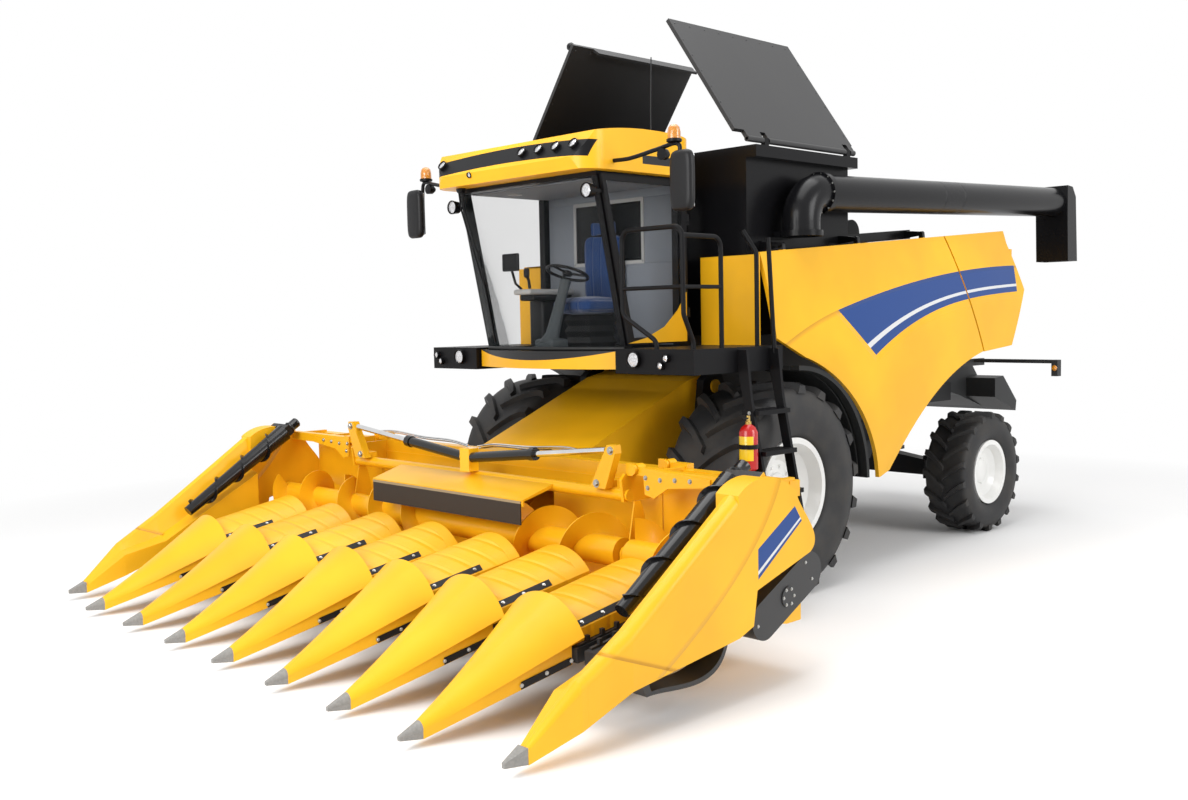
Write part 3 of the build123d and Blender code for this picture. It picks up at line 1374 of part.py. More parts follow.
FOLD_PIN_YS = (-1740, -2080)
FOLD_PLATE_DROP = 30
FIN_TOP_Y = -1990
FIN_TOP_Z = 1085
WEDGE_START = 92
WEDGE_END_X = 2540
WEDGE_T = 14
with BuildPart() as centre_frame:
    extrude(trough_profile(-FOLD_X + FOLD_GAP / 2), amount=2 * FOLD_X - FOLD_GAP)
    # The opening into the feeder house
    with Locations((0, FEEDER_FRONT_Y - 60, 770)):
        Box(2 * (FEEDER_HALF_W - FEEDER_WALL), 300, 640, mode=Mode.SUBTRACT)
    # Bearing plates at both ends of the auger
    for side in (1, -1):
        with BuildSketch(across(side * (FOLD_X - 25) - 9, 0, 0)):
            with Locations((AUGER_Y, (AUGER_Z + 400) / 2)):
                Rectangle(100, AUGER_Z - 400)
            with Locations((AUGER_Y, AUGER_Z)):
                Circle(50)
                Circle(STUB_R + PIN_GAP, mode=Mode.SUBTRACT)
        extrude(amount=18)
    # Fins that sweep from the bearings up to the back sheet
    for side in (1, -1):
        with BuildSketch(across(side * (FOLD_X - 25) - 6, 0, 0)):
            with BuildLine():
                Line((AUGER_Y + 30, AUGER_Z + 20), (FIN_TOP_Y - 60, FIN_TOP_Z))
                Line((FIN_TOP_Y - 60, FIN_TOP_Z), (FIN_TOP_Y, FIN_TOP_Z))
                ThreePointArc((FIN_TOP_Y, FIN_TOP_Z), (FIN_TOP_Y + 60, 880), (AUGER_Y + 200, AUGER_Z - 150))
                Line((AUGER_Y + 200, AUGER_Z - 150), (AUGER_Y + 30, AUGER_Z + 20))
            make_face()
        extrude(amount=12)
    # Deflector tube across the mouth, on an end plate at each side
    with BuildSketch(across(-FOLD_X + 30, -2080, 1130)):
        Circle(45)
    extrude(amount=2 * (FOLD_X - 30))
    for side in (1, -1):
        with BuildSketch(across(side * (FOLD_X - 62), 0, 0)):
            with BuildLine():
                Polyline(
                    (-1700, 1200),
                    (-1700, FOLD_Z - FOLD_PLATE_DROP),
                    (-2110, FOLD_Z - FOLD_PLATE_DROP),
                    (-2150, 1250),
                    (-2130, 1085),
                    (-1760, 1085),
                    close=True,
                )
            make_face()
        extrude(amount=12, both=True)
    for side in (1, -1):
        with Locations((side * (FOLD_X - 28), FEEDER_FRONT_Y - 50, 1285)):
            Box(64, 140, 50, mode=Mode.SUBTRACT)
    # Fold pins, held by the end plates and a lug
    for side in (1, -1):
        for y in FOLD_PIN_YS:
            with Locations((side * (FOLD_X - 26), y, FOLD_Z)):
                Box(60, 26, 90)
            with BuildSketch(Plane((side * FOLD_X, y + 13, FOLD_Z), z_dir=(0, 1, 0))):
                Circle(FOLD_PIN_R - 6)
            extrude(amount=90)
            with Locations((side * (FOLD_X - 4), y, FOLD_Z)):
                Cylinder(FOLD_PIN_R + 8, 26, rotation=(90, 0, 0))

with BuildPart() as wing_frame:
    extrude(trough_profile(FOLD_X + FOLD_GAP / 2), amount=SHIELD_X - FOLD_X - FOLD_GAP / 2)
    with Locations((FOLD_X + 60, FEEDER_FRONT_Y - 60, 1270)):
        Box(120, 200, 160, mode=Mode.SUBTRACT)
    # Bearing plates at both ends of the wing's auger
    for x in (FOLD_X + 25, SHIELD_X - 20):
        with BuildSketch(across(x - 9, 0, 0)):
            with Locations((AUGER_Y, (AUGER_Z + 400) / 2)):
                Rectangle(100, AUGER_Z - 400)
            with Locations((AUGER_Y, AUGER_Z)):
                Circle(50)
                Circle(STUB_R + PIN_GAP, mode=Mode.SUBTRACT)
        extrude(amount=18)
    # Barrels on the fold pins, carried by arms from the top beam
    for y in FOLD_PIN_YS:
        with BuildSketch(facing_front(y + 13 + RUN_GAP + 74)):
            with Locations((FOLD_X + 100, FOLD_Z - 10)):
                Rectangle(200, 60)
            with Locations((FOLD_X, FOLD_Z)):
                Circle(FOLD_PIN_R + 12)
                Circle(FOLD_PIN_R - 6 + PIN_GAP, mode=Mode.SUBTRACT)
        extrude(amount=74)
    # A second beam ahead of the top beam, with ties between the two
    with Locations(((FOLD_X + 120 + SHIELD_X) / 2, -2030, 1290)):
        Box(SHIELD_X - FOLD_X - 120, 70, 80)
    for x in (FOLD_X + 160, 2420, SHIELD_X - 30):
        with Locations((x, (-2030 + FEEDER_FRONT_Y - 50) / 2, 1290)):
            Box(50, 2030 + FEEDER_FRONT_Y - 50, 60)
    # A wedge-shaped arm plate on the front beam takes the fold's load out into the wing
    with BuildSketch(facing_front(-2030 - 35)):
        with BuildLine():
            Polyline(
                (FOLD_X + WEDGE_START, FOLD_Z + 20),
                (WEDGE_END_X, FOLD_Z - 15),
                (WEDGE_END_X, FOLD_Z - 70),
                (FOLD_X + 330, FOLD_Z - 110),
                (FOLD_X + 200, FOLD_Z - 190),
                (FOLD_X + 110, FOLD_Z - 170),
                close=True,
            )
        make_face()
    extrude(amount=WEDGE_T)
save_pair(wing_frame.part, "wing_frame")


# Snouts and hoods: arched shells over the gaps between rows, open underneath
def arch(y, x, half_w, skirt_z, top_z):
    """Sketches an arched section that faces forward at one place along the row."""
    spring_z = skirt_z + 0.4 * (top_z - skirt_z)
    right = x + half_w
    left = x - half_w
    with BuildSketch(facing_front(y)) as section:
        with BuildLine():
            Polyline((right, spring_z), (right, skirt_z), (left, skirt_z), (left, spring_z))
            ThreePointArc((left, spring_z), (x, top_z), (right, spring_z))
        make_face()
    return section.sketch


def snout(x):
    with BuildPart() as shell:
        outer_front = arch(SNOUT_FRONT_Y, x, 45, 50, 150)
        outer_rear = arch(SNOUT_REAR_Y, x, SNOUT_HALF_W, SNOUT_SKIRT, SNOUT_TOP)
        loft([outer_front, outer_rear], ruled=True)
        inner_front = arch(SNOUT_FRONT_Y + 80, x, 50, 40, 165)
        inner_w = SNOUT_HALF_W - SHELL_WALL
        inner_rear = arch(SNOUT_REAR_Y + 1, x, inner_w, SNOUT_SKIRT - 5, SNOUT_TOP - SHELL_WALL)
        loft([inner_front, inner_rear], ruled=True, mode=Mode.SUBTRACT)
    return shell.part


def hood(x):
    front_skirt = DECK_FRONT_Z + 15
    rear_skirt = DECK_REAR_Z + 15
    with BuildPart() as shell:
        outer_front = arch(SNOUT_REAR_Y, x, SNOUT_HALF_W, front_skirt, SNOUT_TOP)
        outer_rear = arch(HOOD_REAR_Y, x, SNOUT_HALF_W, rear_skirt, HOOD_REAR_TOP)
        loft([outer_front, outer_rear], ruled=True)
        inner_w = SNOUT_HALF_W - SHELL_WALL
        inner_front = arch(SNOUT_REAR_Y - 1, x, inner_w, front_skirt - 5, SNOUT_TOP - SHELL_WALL)
        inner_top = HOOD_REAR_TOP - SHELL_WALL - 6
        inner_rear = arch(HOOD_REAR_Y - 2 * SHELL_WALL, x, inner_w, rear_skirt - 10, inner_top)
        loft([inner_front, inner_rear], ruled=True, mode=Mode.SUBTRACT)
    return shell.part


def tip(x, front_y):
    with BuildPart() as point:
        base = arch(SNOUT_FRONT_Y, x, 44, 50, 150)
        point_end = arch(front_y, x, 12, TIP_Z - 30, TIP_Z)
        loft([base, point_end], ruled=True)
    return point.part


# Row unit: slotted deck with a gathering chain on each side, fluted rolls below and a gearbox behind
DECK_HALF_W = 215
SLOT_HALF_W = 32
GEARBOX_HALF_W = 42
CHAIN_W = 24
CHAIN_X = SLOT_HALF_W + 10
CHAIN_H = 14
FINGER_H = 34
FINGER_L = 26
FINGERS = 5
ROLL_R = 40
ROLL_FLUTES = 6


def chain_run(x):
    """One straight run of gathering chain on the deck, with upright fingers along it."""
    start = SNOUT_REAR_Y + 40
    step = (HOOD_REAR_Y - 200 - start) / FINGERS
    with BuildSketch(across(x, 0, 0)) as run:
        with BuildLine():
            points = [(start, deck_z(start) - 5)]
            for number in range(FINGERS):
                foot = start + (number + 0.5) * step
                low = deck_z(foot) + CHAIN_H
                points += [(foot, low), (foot, low + FINGER_H)]
                points += [(foot + FINGER_L, low + FINGER_H), (foot + FINGER_L, low)]
            stop = start + FINGERS * step
            points += [(stop, deck_z(stop) + CHAIN_H), (stop, deck_z(stop) - 5)]
            Polyline(points[0], (start, deck_z(start) + CHAIN_H), *points[1:], close=True)
        make_face()
    return run.sketch


def row_unit(x):
    with BuildPart() as unit:
        with BuildSketch(across(x - DECK_HALF_W, 0, 0)):
            with BuildLine():
                Polyline(
                    (SNOUT_REAR_Y + 10, deck_z(SNOUT_REAR_Y + 10) - 90),
                    (SNOUT_REAR_Y + 10, deck_z(SNOUT_REAR_Y + 10)),
                    (HOOD_REAR_Y - 15, deck_z(HOOD_REAR_Y - 15)),
                    (HOOD_REAR_Y - 15, 400),
                    close=True,
                )
            make_face()
        extrude(amount=2 * DECK_HALF_W)
        for side in (1, -1):
            roll_x = x + side * (SLOT_HALF_W + ROLL_R)
            roll_z = deck_z(SNOUT_REAR_Y) - 90
            with BuildSketch(Plane((roll_x, HOOD_REAR_Y - 120, roll_z + 30), z_dir=(0, -1, 0))):
                RegularPolygon(ROLL_R, ROLL_FLUTES)
            extrude(amount=HOOD_REAR_Y - 120 - SNOUT_REAR_Y - 60)
        with Locations((x, (SNOUT_REAR_Y + HOOD_REAR_Y - 160) / 2, 450)):
            Box(2 * SLOT_HALF_W, HOOD_REAR_Y - 160 - SNOUT_REAR_Y, 400, mode=Mode.SUBTRACT)
        with Locations((x, HOOD_REAR_Y - 100, 440)):
            Box(2 * GEARBOX_HALF_W, 200, 100)
        extrude(chain_run(x + CHAIN_X), amount=CHAIN_W)
        extrude(chain_run(x - CHAIN_X - CHAIN_W), amount=CHAIN_W)
    return unit.part


centre_lines = [(i - ROWS / 2) * ROW_SPACING for i in range(WING_ROWS, ROWS - WING_ROWS + 1)]
centre_rows = [(i - ROWS / 2 + 0.5) * ROW_SPACING for i in range(WING_ROWS, ROWS - WING_ROWS)]
wing_line = (ROWS / 2 - 1) * ROW_SPACING
end_line = ROWS / 2 * ROW_SPACING
wing_rows = [(ROWS / 2 - WING_ROWS + i + 0.5) * ROW_SPACING for i in range(WING_ROWS)]

centre_snouts = [snout(x) for x in centre_lines]
centre_shells = [hood(x) for x in centre_lines]
gather(centre_snouts + centre_shells, "centre_hoods")
centre_tips = [tip(x, -TIP_REACH) for x in centre_lines]
gather([row_unit(x) for x in centre_rows] + centre_tips, "centre_row_units")

# End dividers: a long nose, a rising flank with an inner shelf, and a flat lobe behind
END_NOSE_Y = -4180
END_BOW_Y = -3850
END_MID_Y = -3480
END_REAR_Y = HOOD_REAR_Y - 10
DIVIDER_INNER_X = 2850
RIDGE_R = 70
CONE_X = 2845
CONE_FRONT = (-3260, 680)
CONE_REAR = (-2230, 1340)
CONE_FRONT_R = 48
CONE_REAR_R = 85
CONE_RIB_H = 26
CONE_RIB_T = 10
CONE_SHELF = 150
SKIRT_FRONT_Z = 310
SKIRT_REAR_Z = 420


def cone_z(y):
    """Height of the cone auger's axis at a place along the divider."""
    rise = (CONE_REAR[1] - CONE_FRONT[1]) / (CONE_REAR[0] - CONE_FRONT[0])
    return CONE_FRONT[1] + (y - CONE_FRONT[0]) * rise


def flank(y, outer_x, inner_x, skirt_z, top_z, shelf_z, ridge):
    """Sketches one section through the divider: outer wall, round ridge, inner shelf and wall."""
    bend = ridge * (1 - cos(radians(45)))
    with BuildSketch(facing_front(y)) as section:
        with BuildLine():
            Line((outer_x, skirt_z), (outer_x, top_z - ridge))
            ThreePointArc((outer_x, top_z - ridge), (outer_x - bend, top_z - bend), (outer_x - ridge, top_z))
            Polyline(
                (outer_x - ridge, top_z),
                (outer_x - 1.6 * ridge, top_z - 0.2 * ridge),
                (outer_x - 2.4 * ridge, shelf_z),
                (inner_x, shelf_z - 0.5 * ridge),
                (inner_x, skirt_z),
                (outer_x, skirt_z),
            )
        make_face()
    return section.sketch


with BuildPart() as divider:
    nose_front = flank(END_NOSE_Y, end_line + 45, end_line - 45, 55, 155, 130, 25)
    nose_bow = flank(END_BOW_Y, end_line + 118, end_line - 110, 165, 440, 380, 55)
    flank_front = flank(
        END_MID_Y, HEADER_HALF_W, DIVIDER_INNER_X, SKIRT_FRONT_Z, 655, cone_z(END_MID_Y) - 70, RIDGE_R
    )
    shelf_rear_z = cone_z(END_REAR_Y) - CONE_SHELF
    flank_rear = flank(
        END_REAR_Y, HEADER_HALF_W, DIVIDER_INNER_X, SKIRT_REAR_Z, 1310, shelf_rear_z, RIDGE_R
    )
    loft([nose_front, nose_bow], ruled=True)
    loft([nose_bow, flank_front], ruled=True)
    loft([flank_front, flank_rear], ruled=True)
    # The lobe behind the flank, cut away below for the drive case
    with BuildSketch(across(SHIELD_X, 0, 0)):
        with BuildLine():
            Polyline((-1790, 850), (-2350, 690), (-2390, 470), (END_REAR_Y, SKIRT_REAR_Z), (END_REAR_Y, 1310))
            Spline((END_REAR_Y, 1310), (-2330, 1392), (-2100, 1365), (-1930, 1270))
            Spline((-1930, 1270), (-1810, 1080), (-1740, 900), (-1790, 850))
        make_face()
    extrude(amount=HEADER_HALF_W - SHIELD_X)
    # The block that holds the cone auger's stub
    lift = atan2(CONE_REAR[1] - CONE_FRONT[1], CONE_REAR[0] - CONE_FRONT[0])
    cone_dir = (0, cos(lift), sin(lift))
    seat_plane = Plane((CONE_X, CONE_REAR[0], CONE_REAR[1]), x_dir=(1, 0, 0), z_dir=cone_dir)
    with BuildSketch(seat_plane.offset(RUN_GAP)):
        with Locations((100, 0)):
            Rectangle(300, 100)
        Circle(20 + PIN_GAP, mode=Mode.SUBTRACT)
    extrude(amount=60)
left_shells = [snout(wing_line), hood(wing_line), divider.part]
gather(left_shells, "left_wing_hoods")
gather([mirror(shell, about=Plane.YZ) for shell in left_shells], "right_wing_hoods")

# Drive case on the wing's end: a round-ended cover with a raised disc
CASE_FRONT = (-2245, 475)
CASE_REAR = (-1765, 715)
CASE_R = 130
DISC_R = 70
with BuildPart() as drive_case:
    with BuildSketch(across(SHIELD_X, 0, 0)):
        with BuildLine():
            case_axis = Line(CASE_FRONT, CASE_REAR)
        trace(case_axis, line_width=2 * CASE_R)
        with Locations(CASE_FRONT, CASE_REAR):
            Circle(CASE_R)
    extrude(amount=HEADER_HALF_W - SHIELD_X - 22)
    with BuildSketch(across(HEADER_HALF_W - 22, *CASE_FRONT)):
        with Locations((240, 110)):
            Circle(DISC_R)
    extrude(amount=8)

# Skid under the divider: a bent strip that runs back under the flank
def skirt_z(y):
    """Height of the flank's lower edge."""
    return SKIRT_FRONT_Z + (y - END_MID_Y) * (SKIRT_REAR_Z - SKIRT_FRONT_Z) / (END_REAR_Y - END_MID_Y)


with BuildPart() as skid:
    with BuildSketch(across(2880, 0, 0)):
        with BuildLine():
            Polyline((-3290, skirt_z(-3290)), (-3350, skirt_z(-3350)), (-3290, 215))
            Spline((-3290, 215), (-2960, 190), (-2660, 235), (-2540, skirt_z(-2540)))
            Line((-2540, skirt_z(-2540)), (-2565, skirt_z(-2565)))
            Spline((-2565, skirt_z(-2565)), (-2675, 265), (-2960, 220), (-3250, 240))
            Line((-3250, 240), (-3290, skirt_z(-3290)))
        make_face()
    extrude(amount=190)

with BuildPart() as end_tip:
    with BuildSketch(facing_front(END_NOSE_Y)):
        with Locations((end_line, 102)):
            Rectangle(84, 92)
    with BuildSketch(facing_front(-TIP_REACH + 140)):
        with Locations((end_line, TIP_Z - 15)):
            Rectangle(24, 30)
    loft(ruled=True)
left_gear = [row_unit(x) for x in wing_rows]
left_gear += [end_tip.part, tip(wing_line, -TIP_REACH), drive_case.part, skid.part]
gather(left_gear, "left_wing_row_units")
gather([mirror(piece, about=Plane.YZ) for piece in left_gear], "right_wing_row_units")

# Cone augers that lie along the dividers: a tapered tube with a spiral rib
CONE_LENGTH = sqrt((CONE_REAR[0] - CONE_FRONT[0]) ** 2 + (CONE_REAR[1] - CONE_FRONT[1]) ** 2)
CONE_PITCH = 330
CONE_RIB_L = 1120
with BuildPart() as cone:
    start = Plane((CONE_X, CONE_FRONT[0], CONE_FRONT[1]), x_dir=(1, 0, 0), z_dir=cone_dir)
    with BuildSketch(start):
        Circle(CONE_FRONT_R)
    with BuildSketch(start.offset(CONE_LENGTH)):
        Circle(CONE_REAR_R)
    loft(ruled=True)
    with BuildSketch(start.offset(CONE_LENGTH)):
        Circle(20)
    extrude(amount=RUN_GAP + 60)
    # The rib grows with the tube: its helix widens by the tube's own taper
    taper = atan2(CONE_REAR_R - CONE_FRONT_R, CONE_LENGTH) * 180 / pi
    rib_foot = start.offset(60).origin
    rib_r = CONE_FRONT_R + 60 * (CONE_REAR_R - CONE_FRONT_R) / CONE_LENGTH
    with BuildLine() as rib:
        Helix(CONE_PITCH, CONE_RIB_L, rib_r, center=rib_foot, direction=cone_dir, cone_angle=taper)
    radial = Vector(*(rib.line @ 0)) - rib_foot
    with BuildSketch(Plane(rib.line @ 0, x_dir=radial.normalized(), z_dir=rib.line % 0)):
        with Locations((CONE_RIB_H / 2 - 4, 0)):
            Rectangle(CONE_RIB_H + 8, CONE_RIB_T)
    sweep(is_frenet=True)
save_pair(cone.part, "cone_auger")


# Cross augers: a tube with screw flights, on stub shafts

def cross_auger(x_start, x_stop, flights):
    with BuildPart() as screw:
        with BuildSketch(across(x_start, AUGER_Y, AUGER_Z)):
            Circle(AUGER_TUBE_R)
        extrude(amount=x_stop - x_start)
        with BuildSketch(across(x_start - 30, AUGER_Y, AUGER_Z)):
            Circle(STUB_R)
        extrude(amount=x_stop - x_start + 60)
        for first, length, left_handed in flights:
            with BuildLine() as path:
                Helix(
                    AUGER_PITCH,
                    length,
                    AUGER_TUBE_R,
                    center=(first, AUGER_Y, AUGER_Z),
                    direction=(1, 0, 0),
                    lefthand=left_handed,
                )
            radial = Vector(*(path.line @ 0)) - Vector(first, AUGER_Y, AUGER_Z)
            with BuildSketch(Plane(path.line @ 0, x_dir=radial.normalized(), z_dir=path.line % 0)):
                with Locations(((AUGER_FLIGHT_R - AUGER_TUBE_R) / 2 - 4, 0)):
                    Rectangle(AUGER_FLIGHT_R - AUGER_TUBE_R + 8, FLIGHT_T)
            sweep(is_frenet=True)
    return screw.part


CENTRE_AUGER_HALF = FOLD_X - 45
save(
    cross_auger(
        -CENTRE_AUGER_HALF,
        CENTRE_AUGER_HALF,
        ((-CENTRE_AUGER_HALF + 40, 1250, False), (CENTRE_AUGER_HALF - 1290, 1250, True)),
    ),
    "centre_auger",
)
WING_AUGER_START = FOLD_X + 45
WING_AUGER_STOP = SHIELD_X - 40
save_pair(
    cross_auger(WING_AUGER_START, WING_AUGER_STOP, ((WING_AUGER_START + 30, 950, True),)), "wing_auger"
)

# Deflector over the mouth, with a rubber flap along its front edge
with BuildPart() as deflector:
    with BuildSketch(across(-1000, 0, 0)):
        with BuildLine():
            Polyline(
                (-2125, 1120),
                (-2125, 1150),
                (-2430, 1060),
                (-2430, 1010),
                (-2418, 1010),
                (-2418, 1048),
                close=True,
            )
        make_face()
    extrude(amount=2000)

with BuildPart() as flap:
    with Locations((0, -2435, 960)):
        Box(1960, 10, 180)
save(flap.part, "mouth_flap")

# Fold linkage on the middle of the header: cylinders, rods and levers
LINK_Y = -2155
def cylinder_plane(side):
    """Gives the plane across one fold cylinder at its inner end."""
    rise = radians(6)
    return Plane(
        (side * 50, LINK_Y, 1290), x_dir=(0, 1, 0), z_dir=(side * cos(rise), 0, sin(rise))
    )


with BuildPart() as fold_cylinders:
    with Locations((0, LINK_Y + 10, 1270)):
        Box(120, 100, 190)
    for side in (1, -1):
        lean = cylinder_plane(side)
        with BuildSketch(lean):
            Circle(42)
        extrude(amount=780)
        with BuildSketch(lean.offset(740)):
            Circle(50)
        extrude(amount=60)
save(fold_cylinders.part, "fold_cylinders")

with BuildPart() as fold_rods:
    for side in (1, -1):
        lean = cylinder_plane(side)
        with BuildSketch(lean.offset(800)):
            Circle(24)
        extrude(amount=782)
save(fold_rods.part, "fold_rods")

with BuildPart() as fold_levers:
    for side in (1, -1):
        with BuildSketch(facing_front(LINK_Y + 35)):
            with BuildLine():
                Polyline(
                    (side * 1480, 1176),
                    (side * 1640, 1176),
                    (side * 1745, 1440),
                    (side * 1735, 1500),
                    (side * 1665, 1500),
                    (side * 1620, 1420),
                    close=True,
                )
            make_face()
        extrude(amount=70)
        with Locations((side * 1560, -2090, 1200)):
            Box(120, 90, 50)
gather([centre_frame.part, deflector.part, *fold_levers.part.solids()], "centre_frame")
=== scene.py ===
from math import atan2, copysign, cos, pi, radians, sin, sqrt, tan

import bmesh
import bpy
from mathutils import Matrix, Vector


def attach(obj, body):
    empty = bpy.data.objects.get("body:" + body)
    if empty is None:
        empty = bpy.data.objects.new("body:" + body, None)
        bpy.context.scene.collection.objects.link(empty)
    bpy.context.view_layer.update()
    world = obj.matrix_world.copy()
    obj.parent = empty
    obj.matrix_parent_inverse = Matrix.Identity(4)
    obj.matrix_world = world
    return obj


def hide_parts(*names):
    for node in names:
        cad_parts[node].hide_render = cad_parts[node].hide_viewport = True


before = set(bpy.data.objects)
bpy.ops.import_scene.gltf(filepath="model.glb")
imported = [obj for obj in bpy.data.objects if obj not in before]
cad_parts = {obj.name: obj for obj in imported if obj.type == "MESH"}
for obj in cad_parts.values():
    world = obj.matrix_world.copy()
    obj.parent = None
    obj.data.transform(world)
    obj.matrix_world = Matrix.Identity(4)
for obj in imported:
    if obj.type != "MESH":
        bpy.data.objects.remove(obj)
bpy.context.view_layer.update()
scene = bpy.context.scene

# Main frame, drive axle and steering axle: welded and cast steel under the machine.
# Sprayed black over primer, slightly uneven, with road dust on its low upward faces.
BLACK_ENAMEL = (0.007, 0.007, 0.008)
DUST = (0.23, 0.2, 0.16)


def math_method(operation, swapped=False):
    """The method behind a Python operator on wires: one Math node."""
    def method(wire, other):
        first, second = (other, wire) if swapped else (wire, other)
        return wire.maths(operation, first, second)

    return method


class Wire:
    """One socket of a node tree: operators add Math nodes, and make() adds any other node."""

    def __init__(self, tree, socket=None):
        self.tree = tree
        self.socket = socket

    def make(self, kind, settings=None, inputs=None, output=0):
        """Adds a node, sets its settings first, and then the values or links of its sockets."""
        node = self.tree.nodes.new(kind)
        for name, value in (settings or {}).items():
            setattr(node, name, value)
        for name, value in (inputs or {}).items():
            self.feed(node.inputs[name], value)
        return Wire(self.tree, node.outputs[output])

    def feed(self, socket, value):
        """Links a wire to a socket, or sets the socket's own value."""
        if isinstance(value, Wire):
            self.tree.links.new(value.socket, socket)
        else:
            socket.default_value = value

    def drive(self, shader, **values):
        """Feeds a shader's sockets by name."""
        for name, value in values.items():
            self.feed(shader.inputs[name.replace("_", " ")], value)

    def maths(self, operation, first, second=0.0):
        """One Math node."""
        return self.make("ShaderNodeMath", {"operation": operation}, {0: first, 1: second})

    def mix(self, first, second):
        """The colour between two others that this value picks."""
        ends = [end if isinstance(end, Wire) else (*end, 1.0) for end in (first, second)]
        return self.make("ShaderNodeMix", {"data_type": "RGBA"}, {0: self, 6: ends[0], 7: ends[1]}, 2)

    def part(self, axis):
        """One axis of a vector."""
        return self.make("ShaderNodeSeparateXYZ", {}, {0: self}, axis)

    def parts(self):
        """All three axes of a vector."""
        return [self.part(axis) for axis in range(3)]

    def noise(self, scale, detail=3.0):
        """Cloudy noise over this place, about 0.5 on the whole."""
        return self.make("ShaderNodeTexNoise", {}, {"Vector": self, "Scale": scale, "Detail": detail}, 0)

    def ramp(self, low, high):
        """0 below low, 1 above high and straight between."""
        span = {1: low, 2: high, 3: 0.0, 4: 1.0}
        return self.make("ShaderNodeMapRange", {"clamp": True}, {0: self, **span})

    def size(self):
        """This value without its sign."""
        return self.maths("ABSOLUTE", self)

    def between(self, low, high):
        """1 where this value lies between two others, and 0 elsewhere."""
        return (self > low) * (self < high)

    def wave(self, pitch):
        """Distance to the nearest whole step of a pitch."""
        return self.maths("PINGPONG", self, 0.5 * pitch)

    def ray(self, kind):
        """1 for rays of one kind, and 0 for the rest."""
        return self.make("ShaderNodeLightPath", output=f"Is {kind} Ray")

    __add__ = __radd__ = math_method("ADD")
    __sub__ = math_method("SUBTRACT")
    __rsub__ = math_method("SUBTRACT", swapped=True)
    __mul__ = __rmul__ = math_method("MULTIPLY")
    __truediv__ = math_method("DIVIDE")
    __gt__ = math_method("GREATER_THAN")
    __lt__ = math_method("LESS_THAN")


def surface(name, **constants):
    """A new material: its shader with constant sockets set, and the wire of its own coordinates."""
    material = bpy.data.materials.new(name)
    material.use_nodes = True
    shader = material.node_tree.nodes["Principled BSDF"]
    place = Wire(material.node_tree).make("ShaderNodeTexCoord", output="Object")
    place.drive(shader, **constants)
    return material, shader, place


def shade(colour, share):
    """A colour with a share of its light."""
    return tuple(share * c for c in colour)


def relief(place, height, strength=1.0, depth=1.0):
    """A bump of a height pattern, for a shader's normal."""
    sizes = {"Strength": strength, "Distance": depth, "Height": height}
    return place.make("ShaderNodeBump", {}, sizes)


def normal_of(place):
    """The direction that the surface faces, in the piece's own axes."""
    return place.make("ShaderNodeTexCoord", output="Normal")


def enamel(name, colour, roughness, coat=0.0, peel=0.05, dust=0.0, gloss=0.5, paint=None, ridges=None):
    """Sprayed paint: slow drift of tone, a fine skin and dust where low faces look up.

    paint(place, tone) may lay other colours over the tone, and ridges(place) gives pressed relief in metres.
    """
    material, shader, place = surface(name, Coat_Weight=coat, Coat_Roughness=0.08, Specular_IOR_Level=gloss)
    drift = place.noise(1.1)
    skin = place.noise(240.0, 2.0)
    tone = drift.ramp(0.35, 0.7).mix(shade(colour, 0.82), colour)
    if paint:
        tone = paint(place, tone)
    if dust:
        up = normal_of(place).part(2).ramp(0.2, 0.9)
        low = 1.0 - place.part(2).ramp(0.3, 1.6)
        tone = (up * low * drift * dust).mix(tone, DUST)
    rough = roughness + 0.16 * (drift - 0.5) + 0.06 * (skin - 0.5)
    height = 0.002 * peel * skin
    if ridges:
        height = height + ridges(place)
    place.drive(shader, Base_Color=tone, Roughness=rough, Normal=relief(place, height))
    return material


def dress(material, *names):
    """Gives CAD nodes their finish."""
    for name in names:
        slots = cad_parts[name].data.materials
        slots.clear()
        slots.append(material)


black_enamel = enamel("black_enamel", BLACK_ENAMEL, 0.35, dust=0.5, gloss=0.15)
dress(black_enamel, "main_frame", "front_axle", "rear_axle", "tie_rod")
dress(black_enamel, "left_rear_knuckle", "right_rear_knuckle")

# Wheels: rubber tyres with slanted lugs that meet in arrows, on white dished steel rims.
# The casing is turned, each pair of lugs is stamped round it, and a cap and nuts close the rim.
RUBBER = (0.02, 0.02, 0.021)
RIM_WHITE = (0.8, 0.8, 0.78)
ZINC = (0.5, 0.5, 0.48)
LUGS = 18
LUG_STATIONS = 9
LUG_SLANT = tan(radians(40.0))
NUTS = 10


def circle(count, start=0.0):
    """Cosine and sine at equal steps round a circle."""
    turns = [2 * pi * (i + start) / count for i in range(count)]
    return [(cos(turn), sin(turn)) for turn in turns]


def frame_at(base):
    """A frame given as such, or by its origin alone."""
    return base if isinstance(base, Matrix) else Matrix.Translation(base)


def add(name, data):
    """A new object in the scene."""
    thing = bpy.data.objects.new(name, data)
    scene.collection.objects.link(thing)
    return thing


def bake(thing):
    """Clears a thing's modifiers and gives the mesh that they made."""
    graph = bpy.context.evaluated_depsgraph_get()
    made = bpy.data.meshes.new_from_object(thing.evaluated_get(graph), depsgraph=graph)
    thing.modifiers.clear()
    return made


